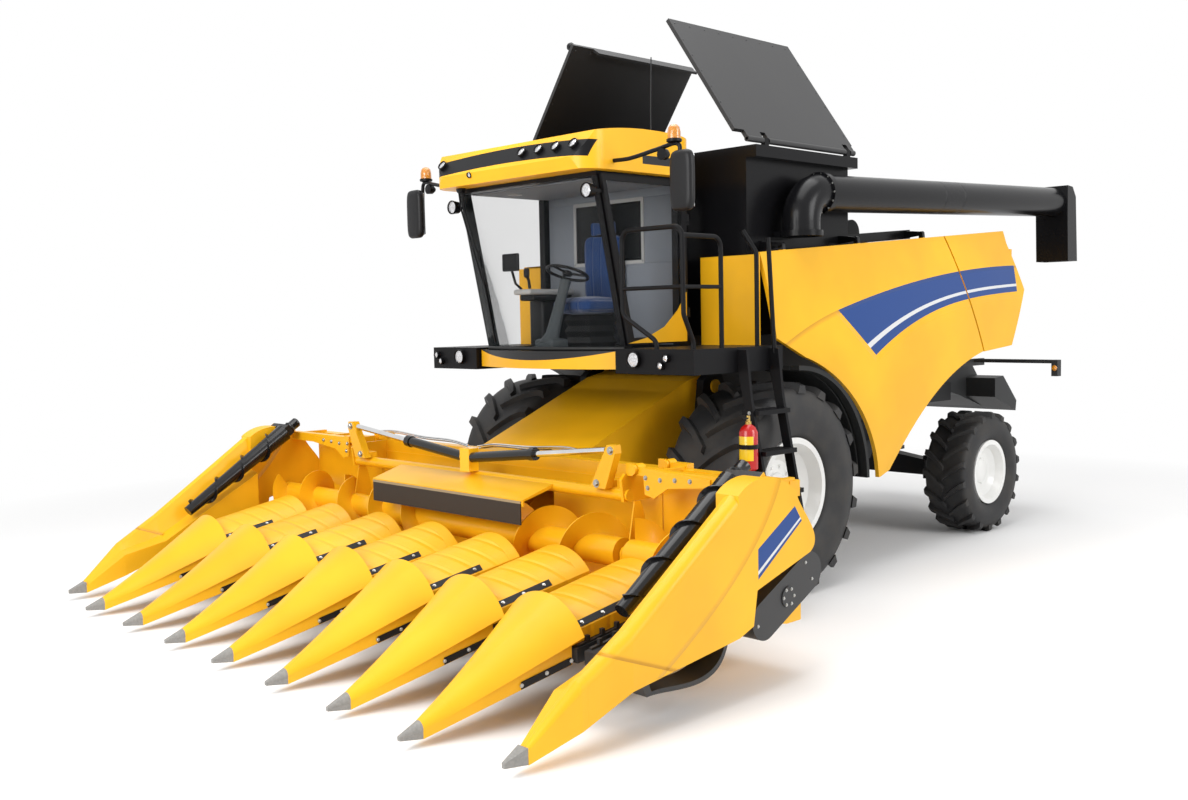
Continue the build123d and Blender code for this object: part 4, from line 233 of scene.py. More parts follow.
class Form:
    """A mesh in the making: shapes are added to it, and piece() makes it an object on a body."""

    def __init__(self):
        self.mesh = bmesh.new()

    def skin(self, rings, caps=True):
        """One skin over rings of points that all have as many points."""
        rows = [[self.mesh.verts.new(point) for point in ring] for ring in rings]
        for row, after in zip(rows, rows[1:]):
            for i in range(len(row)):
                j = (i + 1) % len(row)
                self.mesh.faces.new((row[i], row[j], after[j], after[i]))
        if caps:
            self.mesh.faces.new(rows[0][::-1])
            self.mesh.faces.new(rows[-1])
        return self

    def lathe(self, base, profile, sides=32, caps=True):
        """A profile of (height, radius) pairs turned round the base's own Z axis."""
        rings = []
        for height, radius in profile:
            ring = [Vector((radius * c, radius * s, height)) for c, s in circle(sides)]
            rings.append([frame_at(base) @ point for point in ring])
        return self.skin(rings, caps)

    def tube(self, points, radius, sides=10):
        """A round bar along a path."""
        path = [Vector(point) for point in points]
        rings = []
        normal = (path[1] - path[0]).orthogonal()
        for number, point in enumerate(path):
            ahead = path[min(number + 1, len(path) - 1)] - path[max(number - 1, 0)]
            ahead.normalize()
            normal = (normal - ahead * normal.dot(ahead)).normalized()
            side = ahead.cross(normal)
            rings.append([point + radius * (c * normal + s * side) for c, s in circle(sides)])
        return self.skin(rings)

    def block(self, base, size, edge):
        """A box with rounded edges in the base's own axes."""
        shape = frame_at(base) @ Matrix.Diagonal((*size, 1.0))
        made = bmesh.ops.create_cube(self.mesh, size=1.0, matrix=shape)
        edges = list(dict.fromkeys(edge_of for vert in made["verts"] for edge_of in vert.link_edges))
        bmesh.ops.bevel(self.mesh, geom=edges, offset=edge, segments=3, profile=0.5, affect="EDGES")
        return self

    def data(self, name, sharp=35.0):
        """The finished mesh, smooth but for its sharp edges."""
        bmesh.ops.recalc_face_normals(self.mesh, faces=self.mesh.faces)
        mesh = bpy.data.meshes.new(name)
        self.mesh.to_mesh(mesh)
        self.mesh.free()
        mesh.shade_smooth()
        mesh.set_sharp_from_angle(angle=radians(sharp))
        return mesh

    def piece(self, name, material, body="chassis", sharp=35.0):
        """The finished mesh as an object that moves with a body."""
        mesh = self.data(name, sharp)
        mesh.materials.append(material)
        thing = add(name, mesh)
        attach(thing, body)
        return thing

    def shape(self, name):
        """The finished mesh as a loose object, to be stamped."""
        return bpy.data.objects.new(name, self.data(name))


def track(point, direction):
    """A frame at a point whose Z axis looks along a direction."""
    turn = Vector(direction).to_track_quat("Z", "Y").to_matrix().to_4x4()
    return Matrix.Translation(point) @ turn


def flow(points, steps=6):
    """A smooth path through points."""
    knots = [Vector(point) for point in points]
    knots = [2 * knots[0] - knots[1], *knots, 2 * knots[-1] - knots[-2]]
    path = []
    for a, b, c, d in zip(knots, knots[1:], knots[2:], knots[3:]):
        for step in range(steps):
            t = step / steps
            bend = (2 * a - 5 * b + 4 * c - d) * t * t + (3 * b - a - 3 * c + d) * t ** 3
            path.append(b + 0.5 * ((c - a) * t + bend))
    return [*path, knots[-2]]


def stamper(name, pivot):
    """Geometry Nodes that copy one shape to each point of a mesh and turn it to the point's facing."""
    group = bpy.data.node_groups.new(name, "GeometryNodeTree")
    sockets = (
        ("Points", "INPUT", "NodeSocketGeometry"),
        ("Shape", "INPUT", "NodeSocketObject"),
        ("Size", "INPUT", "NodeSocketFloat"),
        ("Finish", "INPUT", "NodeSocketMaterial"),
        ("Pieces", "OUTPUT", "NodeSocketGeometry"),
    )
    for label, way, kind in sockets:
        group.interface.new_socket(label, in_out=way, socket_type=kind)
    tree = Wire(group)
    given = group.nodes.new("NodeGroupInput")
    points, shape, size, finish = [Wire(group, given.outputs[label]) for label, _, _ in sockets[:4]]
    copied = tree.make("GeometryNodeObjectInfo", {}, {"Object": shape}, "Geometry")
    facing = {"data_type": "FLOAT_VECTOR"}
    facing = tree.make("GeometryNodeInputNamedAttribute", facing, {"Name": "facing"}, "Attribute")
    turn = {"axis": "Z", "pivot_axis": pivot}
    turned = tree.make("FunctionNodeAlignRotationToVector", turn, {"Vector": facing})
    links = {"Points": points, "Instance": copied, "Rotation": turned, "Scale": size}
    stamped = tree.make("GeometryNodeInstanceOnPoints", {}, links)
    real = tree.make("GeometryNodeRealizeInstances", {}, {"Geometry": stamped})
    finished = tree.make("GeometryNodeSetMaterial", {}, {"Geometry": real, "Material": finish})
    result = group.nodes.new("NodeGroupOutput")
    tree.feed(result.inputs["Pieces"], finished)
    return group


ANY_WAY = stamper("stamp_any_way", "AUTO")
ROUND_AXLE = stamper("stamp_round_axle", "X")


def stamp(name, shape, size, places, material, body="chassis", group=ANY_WAY):
    """Copies of a shape at (point, facing) places, as one piece on a body."""
    mesh = bpy.data.meshes.new(name)
    mesh.from_pydata([point for point, _ in places], [], [])
    facing = mesh.attributes.new("facing", "FLOAT_VECTOR", "POINT")
    facing.data.foreach_set("vector", [part for _, way in places for part in way])
    thing = add(name, mesh)
    nodes = thing.modifiers.new("stamps", "NODES")
    nodes.node_group = group
    for label, value in (("Shape", shape), ("Size", size), ("Finish", material)):
        nodes[group.interface.items_tree[label].identifier] = value
    thing.data = bake(thing)
    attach(thing, body)
    return thing


def rubber(name, colour, roughness, dust):
    """Vulcanised rubber: fine grain, dull bloom and pale dust in its rougher patches."""
    material, shader, place = surface(name, Specular_IOR_Level=0.35)
    bloom = place.noise(5.0, 5.0)
    grain = place.noise(300.0, 2.0)
    tone = (dust * bloom.ramp(0.4, 0.75)).mix(colour, DUST)
    rough = roughness + 0.25 * (bloom - 0.5)
    place.drive(shader, Base_Color=tone, Roughness=rough, Normal=relief(place, grain, 0.25, 0.002))
    return material


def bare_metal(name, colour, roughness):
    """Plated steel: bright, with a fine brushed break in its gloss."""
    material, shader, place = surface(name, Metallic=1.0)
    brush = place.noise(90.0, 4.0)
    cloud = place.noise(7.0)
    tone = cloud.mix(shade(colour, 0.75), colour)
    place.drive(shader, Base_Color=tone, Roughness=roughness + 0.2 * (brush - 0.5))
    return material


tyre_rubber = rubber("tyre_rubber", RUBBER, 0.6, 0.1)
rim_white = enamel("rim_white", RIM_WHITE, 0.3, coat=0.3)
zinc = bare_metal("zinc", ZINC, 0.3)

ORIGIN = (0.0, 0.0, 0.0)
bolt = Form().lathe(ORIGIN, [(0.0, 1.45), (0.22, 1.4)], 16)
BOLT = bolt.lathe(ORIGIN, [(0.2, 1.0), (0.75, 1.0), (0.9, 0.82)], 6).shape("bolt_shape")


def tyre_profile(half, radius, rim_r, lug_h):
    """The casing's outline from bead to bead, as (across, radius) pairs."""
    casing = radius - lug_h
    wall = casing - rim_r
    half_line = [
        (0.78 * half, rim_r + 0.031),
        (0.9 * half, rim_r + 0.05 + 0.06 * wall),
        (half, rim_r + 0.5 * wall),
        (0.965 * half, rim_r + 0.78 * wall),
        (0.85 * half, casing - 0.01),
        (0.5 * half, casing + 0.003),
    ]
    return [(-x, r) for x, r in half_line] + [(0.0, casing + 0.006)] + half_line[::-1]


def lug_rings(side, half, radius, lug_h, lug_w, phase):
    """Sections of one lug, from the tread's middle out over its shoulder."""
    slant = 0.42 * half * LUG_SLANT
    casing = radius - lug_h
    rings = []
    for station in range(LUG_STATIONS):
        t = station / (LUG_STATIONS - 1)
        x = -0.02 * half + 0.97 * half * t
        along = slant * (1.0 - 2.0 * (1.0 - t) ** 1.35)
        drop = max(0.0, (t - 0.84) / 0.16)
        top = radius - 0.5 * lug_h * (0.012 + drop ** 1.5)
        foot = casing - 0.012 - 0.5 * lug_h * drop
        width = 0.5 * lug_w * (0.85 + 0.35 * t)
        flank = [(1.35, foot), (0.95, top - 0.35 * lug_h), (0.78, top)]
        ring = []
        for share, level in [(-share, level) for share, level in flank] + flank[::-1]:
            turn = (along + share * width) / radius + phase
            ring.append((side * x, level * sin(turn), level * cos(turn)))
        rings.append(ring)
    return rings


# Each axle: hub's place out, back and up, the tyre's half width, the rim, a lug's height and width, the disc.
WHEELS = {
    "front": (1.38, -0.55, 0.92, 0.4, 0.42, 0.055, 0.078, 0.132),
    "rear": (1.28, 3.3, 0.655, 0.25, 0.318, 0.042, 0.058, 0.082),
}
SIDES = (("left", 1.0), ("right", -1.0))
for axle, (out, back, radius, half, rim_r, lug_h, lug_w, disc) in WHEELS.items():
    for side, sign in SIDES:
        wheel = f"{side}_{axle}"
        body = f"{wheel}_wheel"
        hub = Vector((sign * out, back, radius))
        aside = Vector((sign, 0.0, 0.0))
        outline = flow([Vector((x, r, 0.0)) for x, r in tyre_profile(half, radius, rim_r, lug_h)], 4)
        casing = Form().lathe(track(hub, (1.0, 0.0, 0.0)), [(p.x, p.y) for p in outline], 120, False)
        tyre = casing.piece(f"{wheel}_casing", tyre_rubber, body, 60.0)
        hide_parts(f"{wheel}_tyre")
        pair = Form().skin(lug_rings(sign, half, radius, lug_h, lug_w, pi / LUGS))
        pair.skin(lug_rings(-sign, half, radius, lug_h, lug_w, 0.0))
        lug_pair = pair.shape("lug_pair")
        ring = [(hub, (0.0, c, s)) for c, s in circle(LUGS, 0.25)]
        stamp(f"{wheel}_lugs", lug_pair, 1.0, ring, tyre_rubber, body, ROUND_AXLE)
        bpy.data.objects.remove(lug_pair)
        face = hub + disc * aside
        cap = [(0.0, 0.135), (0.022, 0.131), (0.032, 0.118), (0.036, 0.05), (0.037, 0.0)]
        cap += [(0.031, 0.0), (0.03, 0.05), (0.027, 0.108), (0.0, 0.112)]
        Form().lathe(track(face, aside), cap, 40, False).piece(f"{wheel}_cap", rim_white, body)
        spread = 0.5 * rim_r - 0.02
        nuts = [(face + spread * Vector((0.0, c, s)), aside) for c, s in circle(NUTS)]
        stamp(f"{wheel}_nuts", BOLT, 0.016, nuts, rim_white, body)
        dress(rim_white, f"{wheel}_rim")

# Threshing body, straw chopper and engine: folded sheet round the works, on the main frame.
# Dark grey paint, duller than the yellow panels, with dust on the low flats and lamps at the tail.
GREY_ENAMEL = (0.03, 0.031, 0.032)
LAMP_RED = (0.42, 0.008, 0.006)
AMBER = (0.7, 0.26, 0.01)
grey_enamel = enamel("grey_enamel", GREY_ENAMEL, 0.5, dust=0.4, gloss=0.25)
dress(grey_enamel, "threshing_body", "straw_chopper", "engine")


def lamp_lens(name, colour, metal=0.0):
    """Ribbed lamp glass over its reflector."""
    material, shader, place = surface(name, Roughness=0.12, Coat_Weight=0.8, Metallic=metal)
    facet = place.make("ShaderNodeTexVoronoi", {}, {"Vector": place, "Scale": 70.0}, "Distance")
    tone = facet.mix(colour, shade(colour, 0.6))
    place.drive(shader, Base_Color=tone, Normal=relief(place, facet, 0.5, 0.006))
    return material


red_lens = lamp_lens("red_lens", LAMP_RED)
amber_lens = lamp_lens("amber_lens", AMBER)
AHEAD = Vector((0.0, -1.0, 0.0))
UP = Vector((0.0, 0.0, 1.0))
TAIL_LAMP_X = 1.88
tail_red = Form()
tail_amber = Form()
for _, sign in SIDES:
    x = sign * TAIL_LAMP_X
    tail_red.block((x, 4.1, 1.8), (0.062, 0.014, 0.085), 0.006)
    tail_amber.block((x, 4.1, 1.71), (0.062, 0.014, 0.07), 0.006)
    tail_amber.lathe(track((x, 4.003, 1.76), AHEAD), [(0.0, 0.032), (0.014, 0.024), (0.018, 0.0)])
tail_red.piece("tail_lamps_red", red_lens)
tail_amber.piece("tail_lamps_amber", amber_lens)

# Engine deck's fittings: slats over the cooler, three lids with pulls, clamps and a pipe flange.
# Folded sheet in the body's grey; the lids are bolted down on the deck behind the tank.
DECK_TOP = 3.09
COOLER = Vector((-0.7, 2.15, 3.31))
SLAT_PITCH = 0.05
SLAT_TILT = radians(35.0)
LIDS = ((0.5, 2.3, 0.9, 0.8), (0.5, 3.15, 0.9, 0.7), (-0.65, 3.15, 1.1, 0.7))
SLAT = Form().block(Matrix.Rotation(SLAT_TILT, 4, "X"), (1.0, 0.036, 0.006), 0.002).shape("slat_shape")
slats = [(COOLER + Vector((0.0, SLAT_PITCH * step, 0.008)), UP) for step in range(-8, 9)]
stamp("cooler_slats", SLAT, 1.0, slats, grey_enamel)
fittings = Form()
lid_bolts = []
for _, sign in SIDES:
    fittings.block(COOLER + Vector((0.0, sign * 0.432, 0.01)), (1.08, 0.03, 0.034), 0.004)
    fittings.block(COOLER + Vector((sign * 0.525, 0.0, 0.01)), (0.03, 0.86, 0.034), 0.004)
for x, y, wide, long in LIDS:
    fittings.block((x, y, DECK_TOP + 0.01), (wide, long, 0.04), 0.008)
    pull = [(-0.07, 0.02), (-0.07, 0.06), (0.07, 0.06), (0.07, 0.02)]
    back = y + 0.5 * long - 0.08
    fittings.tube(flow([(x + across, back, DECK_TOP + rise) for across, rise in pull]), 0.007)
    for across in (0.04 - 0.5 * wide, 0.5 * wide - 0.04):
        for along in (0.04 - 0.5 * long, 0.5 * long - 0.04):
            lid_bolts.append(((x + across, y + along, DECK_TOP + 0.03), UP))
for x in (0.42, 0.86):
    clamp = [(0.0, 0.126), (0.0, 0.136), (0.03, 0.136), (0.03, 0.126)]
    fittings.lathe(track((x, 1.45, 3.21), (1.0, 0.0, 0.0)), clamp)
fittings.lathe((-0.5, 1.25, DECK_TOP), [(-0.01, 0.125), (0.018, 0.125), (0.024, 0.07)])
fittings.piece("deck_fittings", grey_enamel)
stamp("lid_bolts", BOLT, 0.01, lid_bolts, zinc)

# Arches over the drive wheels: dark moulded plastic with a groove along the outer edge.
# Bolted to the frame; the skin is finely pebbled.
ARCH_GREY = (0.014, 0.015, 0.015)


def moulded(name, colour, roughness, ridges=None):
    """Moulded plastic: an even, finely pebbled skin with faint flow marks."""
    material, shader, place = surface(name, Specular_IOR_Level=0.25)
    pebble = place.noise(420.0, 2.0)
    cloud = place.noise(2.3)
    tone = cloud.mix(shade(colour, 0.85), colour)
    rough = roughness + 0.12 * (cloud - 0.5) + 0.1 * (pebble - 0.5)
    height = 0.0004 * pebble
    if ridges:
        height = height + ridges(place)
    place.drive(shader, Base_Color=tone, Roughness=rough, Normal=relief(place, height))
    return material


def arch_groove(place):
    """A groove that runs along the arch near its outer edge."""
    return 0.01 * (place.part(0).size() - 1.68).size().ramp(0.004, 0.016)


dress(moulded("arch_plastic", ARCH_GREY, 0.55, arch_groove), "front_fenders")

# Grain tank and its two covers: folded steel sheet, black and satin, the covers standing open.
# Rows of small rivets hold the covers' folded edges, and a lamp stub stands on the right one.
TANK_BLACK = (0.006, 0.006, 0.007)
COVER_LEAN = radians(55.0)
COVER_EDGE = Vector((1.38, 0.0, 3.9))
cover_black = enamel("cover_black", (0.018, 0.018, 0.019), 0.38, gloss=0.5)
dress(enamel("tank_black", TANK_BLACK, 0.25, gloss=0.15), "grain_tank")
dress(cover_black, "left_tank_cover", "right_tank_cover")
RIVET_PROFILE = [(0.0, 1.0), (0.35, 0.92), (0.6, 0.6), (0.7, 0.0)]
RIVET = Form().lathe(ORIGIN, RIVET_PROFILE, 12).shape("rivet_shape")
SHEET_FACE = 0.018
COVER_TOP = 1.3


def cover_point(sign, up, along, lift):
    """A place on a cover: its height up the slope, its place along the machine, its lift off the sheet."""
    slope = Vector((-cos(COVER_LEAN), 0.0, sin(COVER_LEAN)))
    outward = Vector((sin(COVER_LEAN), 0.0, cos(COVER_LEAN)))
    spot = COVER_EDGE + up * slope + lift * outward
    return Vector((sign * spot.x, along, spot.z)), Vector((sign * outward.x, 0.0, outward.z))


for side, sign in SIDES:
    edges = [(COVER_TOP, -0.8 + 0.2 * i) for i in range(9)]
    edges += [(0.2 + 0.18 * i, y) for i in range(6) for y in (-0.82, 0.85)]
    places = [cover_point(sign, up, along, SHEET_FACE) for up, along in edges]
    inner = [cover_point(sign, up, along, -SHEET_FACE) for up, along in edges]
    places += [(spot, -outward) for spot, outward in inner]
    stamp(f"{side}_cover_rivets", RIVET, 0.007, places, cover_black, f"{side}_tank_cover")
spot, outward = cover_point(-1.0, COVER_TOP, -0.79, SHEET_FACE)
stub = [(0.0, 0.022), (0.03, 0.022), (0.03, 0.04), (0.065, 0.04), (0.085, 0.026), (0.09, 0.0)]
Form().lathe(track(spot, outward), stub, 24).piece("cover_lamp_stub", black_enamel, "right_tank_cover")

# Unloading auger: a painted tube with a bolted collar behind its elbow and two seams round it.
# The bolts stand round the collar's front face.
COLLAR = Vector((1.49, 0.131, 3.48))
COLLAR_SPREAD = 0.176
COLLAR_BOLTS = 14
TUBE_SEAMS = (2.09, 2.46)


def tube_seams(place):
    """Fine grooves round the tube where its lengths meet."""
    first, second = [(place.part(1) - seam).size().ramp(0.003, 0.009) for seam in TUBE_SEAMS]
    return 0.004 * first * second


dress(enamel("tube_black", TANK_BLACK, 0.25, gloss=0.2, ridges=tube_seams), "unload_auger")
collar_bolts = [(COLLAR + COLLAR_SPREAD * Vector((c, 0.0, s)), AHEAD) for c, s in circle(COLLAR_BOLTS)]
stamp("unload_collar_bolts", BOLT, 0.007, collar_bolts, zinc, "unload_auger")

# Cab: a steel frame under a moulded yellow roof, with a bowed windscreen and a glazed door.
# Smoked safety glass sits in black seals; round lamps stand in the roof's band, on the posts and below.
YELLOW = (0.93, 0.475, 0.008)
GLASS_TINT = (0.016, 0.02, 0.022)
yellow_enamel = enamel("yellow_enamel", YELLOW, 0.34, coat=0.1, gloss=0.35)
seal_rubber = rubber("seal_rubber", (0.014, 0.014, 0.014), 0.55, 0.0)
clear_lens = lamp_lens("clear_lens", (0.8, 0.8, 0.82), 0.75)


def shell(name, paint=None):
    """Yellow moulding, a little duller and rougher than the painted sheet."""
    return enamel(name, YELLOW, 0.4, coat=0.1, peel=0.1, gloss=0.35, paint=paint)


yellow_shell = shell("yellow_shell")


def smoked_glass(name, tint, clear):
    """Tinted pane: mostly see-through face on, and mirror-like at a grazing angle."""
    material, shader, place = surface(name, Base_Color=(*tint, 1.0), Roughness=0.03, Specular_IOR_Level=0.4)
    graze = place.make("ShaderNodeLayerWeight", {}, {"Blend": 0.12}, "Fresnel")
    smear = place.noise(3.0)
    place.drive(shader, Alpha=1.0 - clear + (clear * 0.6) * graze + 0.02 * smear)
    return material


dress(smoked_glass("cab_pane", GLASS_TINT, 0.94), "cab_glass", "door_glass")
dress(black_enamel, "cab_frame", "door_frame")


def bumper_seal(place, tone):
    """The black seal that dips into the bumper's upper edge and leaves a yellow crescent."""
    x, y, z = place.parts()
    front = (y < -1.7) * (z < 2.16)
    return (front * (z > 2.062 + 0.1 * x * x)).mix(tone, BLACK_ENAMEL)


def roof_recess_painted_shade(place, tone):
    """Painted shade: black laid in the recess low on each side of the roof, behind the mirror arm."""
    x, y, z = place.parts()
    aside = (x.size() > 0.93) * y.between(-1.62, -1.1)
    # Black paint stands in for the shade inside the recess.
    return (aside * z.between(3.66, 3.73)).mix(tone, BLACK_ENAMEL)


dress(shell("bumper_shell", bumper_seal), "front_panels")
dress(shell("roof_shell", roof_recess_painted_shade), "cab_roof")
VISOR = Vector((0.0, -0.844, 0.536))
VISOR_LAMPS = (0.2, 0.41, 0.615, 0.825, -0.88)
SIDE_LAMPS = ((0.87, -2.126, 3.43, 0.056), (1.13, -1.894, 2.075, 0.062))
SIDE_LAMPS += ((1.48, -1.894, 2.09, 0.029), (1.42, -1.894, 2.03, 0.029))
lamps = [(Vector((x, -2.205, 3.7875)) + 0.014 * VISOR, VISOR, 0.04) for x in VISOR_LAMPS]
lamps.append(((-0.44, -2.263, 3.668), (0.0, -0.954, -0.301), 0.024))
for _, sign in SIDES:
    lamps += [((sign * x, y, z), AHEAD, radius) for x, y, z, radius in SIDE_LAMPS]
bezels = Form()
lenses = Form()
for spot, way, r in lamps:
    bezel = [(0.0, 1.1 * r), (0.012, 1.1 * r), (0.016, 1.03 * r), (0.01, 0.96 * r), (0.0, 0.95 * r)]
    bezels.lathe(track(spot, way), bezel, 32, False)
    lenses.lathe(track(spot, way), [(0.0, 0.95 * r), (0.006, 0.9 * r), (0.011, 0.5 * r), (0.012, 0.0)])
bezels.piece("lamp_bezels", black_enamel)
lenses.piece("lamp_lenses", clear_lens)

sill = [(0.22 * step, -1.73 - 0.198 * (1.0 - (0.22 * step / 0.886) ** 2), 2.158) for step in range(-4, 5)]
Form().tube(flow(sill), 0.017).piece("windscreen_seal", seal_rubber)
WIPER_ARM = ((-0.79, -2.115, 3.58), (-0.77, -2.105, 3.4), (-0.7, -1.925, 2.72))
wipers = Form()
for shift in (0.0, 0.045):
    wipers.tube([(x + shift, y, z) for x, y, z in WIPER_ARM], 0.008)
wipers.block(track((-0.68, -1.905, 2.62), (0.0, 0.21, -0.975)), (0.016, 0.024, 0.85), 0.005)
wipers.lathe(track((-0.765, -2.09, 3.585), AHEAD), [(0.0, 0.045), (0.04, 0.04), (0.05, 0.0)], 24)
wipers.piece("wiper", black_enamel)
FAIRING = ((-1.74, 2.2), (-1.53, 2.2), (-1.02, 2.2), (-1.02, 2.62))
FAIRING += ((-1.13, 2.47), (-1.3, 2.33), (-1.53, 2.24))
FAIRING_FACES = (0.93, 0.938)
faces = [[(x, y, z) for y, z in FAIRING] for x in FAIRING_FACES]
Form().skin(faces).piece("door_fairing", yellow_shell, "cab_door")
whip = Form().tube([(0.67, -1.15, 3.9), (0.672, -1.15, 4.2), (0.686, -1.15, 4.63)], 0.005, 8)
whip.lathe((0.67, -1.15, 3.895), [(0.0, 0.03), (0.03, 0.026), (0.06, 0.01)], 16)
whip.piece("antenna", black_enamel)

# Cab lining: blue-grey moulded panels under the roof and round the rear window, with pale vents and trim.
# They sit inside the frame, so they show through the glass.
LINING = (0.22, 0.24, 0.27)
TRIM = (0.42, 0.42, 0.41)
lining = Form().block((0.0, -1.495, 3.555), (1.58, 0.88, 0.03), 0.012)
REAR_PANELS = ((0.0, 3.51, 1.6, 0.08), (0.0, 2.53, 1.6, 0.72))
REAR_PANELS += ((0.62, 3.18, 0.36, 0.58), (-0.62, 3.18, 0.36, 0.58))
for x, z, wide, high in REAR_PANELS:
    lining.block((x, -1.017, z), (wide, 0.012, high), 0.004)
lining.piece("cab_lining", moulded("lining_grey", LINING, 0.7))
VENT = [(0.0, 0.07), (0.012, 0.065), (0.012, 0.045), (0.002, 0.03)]
WINDOW_TRIM = ((0.0, 3.46, 0.9, 0.035), (0.0, 2.905, 0.9, 0.035))
WINDOW_TRIM += ((0.435, 3.18, 0.035, 0.56), (-0.435, 3.18, 0.035, 0.56))
trim = Form()
for x in (-0.5, 0.5):
    trim.lathe(track((x, -1.7, 3.54), -UP), VENT)
for x, z, wide, high in WINDOW_TRIM:
    trim.block((x, -1.026, z), (wide, 0.012, high), 0.005)
trim.piece("cab_trim", moulded("trim_pale", TRIM, 0.6))

# Operator's seat: crowned cushions in ribbed blue cloth on a black bellows base.
# The cushions are rounded pads swelled by a cloth simulation, and stand for the plain seat solid.
SEAT_BLUE = (0.014, 0.05, 0.17)
PRESSURE = 4.0
SWELL_STEPS = 20
SWELL_CAP = 0.012


def woven(name, colour):
    """Seat cloth: a fine weave, sewn channels and a soft sheen."""
    material, shader, place = surface(name, Roughness=0.9, Sheen_Weight=0.35, Specular_IOR_Level=0.2)
    x, y, z = place.parts()
    weft = (x + z).wave(0.004).ramp(0.0, 0.002)
    warp = (y + z).wave(0.004).ramp(0.0, 0.002)
    channel = x.wave(0.11).ramp(0.0, 0.012)
    cloud = place.noise(14.0)
    thread = (weft * warp).mix(shade(colour, 0.6), colour)
    tone = (0.5 * cloud).mix(thread, shade(colour, 1.5))
    height = 0.0006 * weft * warp + 0.004 * channel
    place.drive(shader, Base_Color=tone, Normal=relief(place, height))
    return material


def inflate(pad):
    """Swells a pad as filled cloth: pressure from inside, with no point moving further than the cap."""
    cloth = pad.modifiers.new("filling", "CLOTH")
    cloth.settings.use_pressure = True
    cloth.settings.uniform_pressure_force = PRESSURE
    cloth.settings.effector_weights.gravity = 0.0
    for number in range(SWELL_STEPS):
        scene.frame_set(number + 1)
    filled = bake(pad)
    for vert, before in zip(filled.vertices, pad.data.vertices):
        move = vert.co - before.co
        vert.co = before.co + move * min(1.0, SWELL_CAP / max(move.length, SWELL_CAP))
    pad.data = filled
    scene.frame_set(1)


seat_cloth = woven("seat_cloth", SEAT_BLUE)


def cushion(name, base, size, crown):
    """A padded form: a rounded pad whose sides pull in, swelled as filled cloth."""
    pad = Form()
    bmesh.ops.create_cube(pad.mesh, size=2.0)
    bmesh.ops.subdivide_edges(pad.mesh, edges=pad.mesh.edges[:], cuts=23, use_grid_fill=True)
    for vert in pad.mesh.verts:
        u, v, w = vert.co
        reach = (abs(u) ** 6 + abs(v) ** 6 + abs(w) ** 6) ** (1 / 6)
        u, v, w = u / reach, v / reach, w / reach
        swell = (1.0 - u * u) * (1.0 - v * v)
        u *= 1.0 - 0.03 * (1.0 - v * v)
        v *= 1.0 - 0.03 * (1.0 - u * u)
        w *= 1.0 - crown + crown * swell
        vert.co = base @ Vector((0.5 * size[0] * u, 0.5 * size[1] * v, 0.5 * size[2] * w))
    thing = pad.piece(name, seat_cloth, sharp=80.0)
    inflate(thing)
    return thing


dark_plastic = moulded("dark_plastic", (0.009, 0.009, 0.01), 0.4)
ON_END = Matrix.Rotation(radians(90.0), 4, "X")
seat_base = cushion("seat_cushion", frame_at((0.0, -1.3, 2.525)), (0.52, 0.5, 0.14), 0.3)
cushion("seat_back", frame_at((0.0, -1.085, 2.86)) @ ON_END, (0.5, 0.62, 0.12), 0.3)
cushion("seat_headrest", frame_at((0.0, -1.085, 3.22)) @ ON_END, (0.3, 0.13, 0.09), 0.25)
folds = []
for fold in range(7):
    reach = 0.18 if fold % 2 else 0.155
    flat = 0.72 * reach
    ring = []
    for corner in circle(48):
        x, y = [1.3 * max(-flat, min(flat, 1.3 * reach * share)) for share in corner]
        ring.append((x, y - 1.27, 2.145 + 0.05 * fold))
    folds.append(ring)
Form().skin(folds).piece("seat_bellows", dark_plastic)
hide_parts("operator_seat")

# Controls: a grey pedestal with a tilted wheel, a pale side desk with a lever, and a screen on an arm.
# Moulded housings bolted to the cab floor and to the right wall.
desk_grey = moulded("desk_grey", (0.5, 0.5, 0.49), 0.6)
column_grey = moulded("column_grey", (0.06, 0.07, 0.075), 0.5)
COLUMN_FOOT = Vector((0.0, -1.75, 2.24))
COLUMN_LEAN = radians(20.0)
COLUMN_WAY = Vector((0.0, sin(COLUMN_LEAN), cos(COLUMN_LEAN)))
COLUMN = [(0.0, 0.1), (0.1, 0.06), (0.45, 0.045), (0.6, 0.05)]
STEER_RADIUS = 0.186
pedestal = Form().block((0.0, -1.75, 2.19), (0.25, 0.2, 0.1), 0.03)
pedestal.lathe(track(COLUMN_FOOT - 0.06 * COLUMN_WAY, COLUMN_WAY), COLUMN)
pedestal_piece = pedestal.piece("steering_pedestal", column_grey)
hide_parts("steering_column")
upward = track(COLUMN_FOOT + 0.61 * COLUMN_WAY, COLUMN_WAY)
rim = [upward @ Vector((STEER_RADIUS * c, STEER_RADIUS * s, 0.0)) for c, s in circle(48)]
wheel = Form().tube(rim + rim[:1], 0.014)
wheel.lathe(upward, [(-0.02, 0.04), (0.005, 0.05), (0.018, 0.035), (0.02, 0.0)])
for c, s in circle(3, 0.75):
    wheel.tube([upward @ Vector((reach * c, reach * s, 0.0)) for reach in (0.03, 0.11, 0.185)], 0.011)
wheel.piece("steering_wheel", dark_plastic)
desk = Form().block((-0.47, -1.4, 2.66), (0.24, 0.56, 0.05), 0.022)
desk.piece("side_desk", desk_grey)
desk_foot = Form().block((-0.56, -1.25, 2.4), (0.2, 0.36, 0.5), 0.03)
desk_foot.block((-0.47, -1.38, 2.61), (0.2, 0.48, 0.06), 0.02)
desk_foot.piece("side_desk_foot", dark_plastic)
lever = Form().tube([(-0.42, -1.62, 2.69), (-0.42, -1.63, 2.76), (-0.42, -1.65, 2.8)], 0.014)
lever.block((-0.42, -1.655, 2.83), (0.05, 0.05, 0.09), 0.02)
lever.block((-0.56, -1.72, 2.93), (0.22, 0.03, 0.16), 0.012)
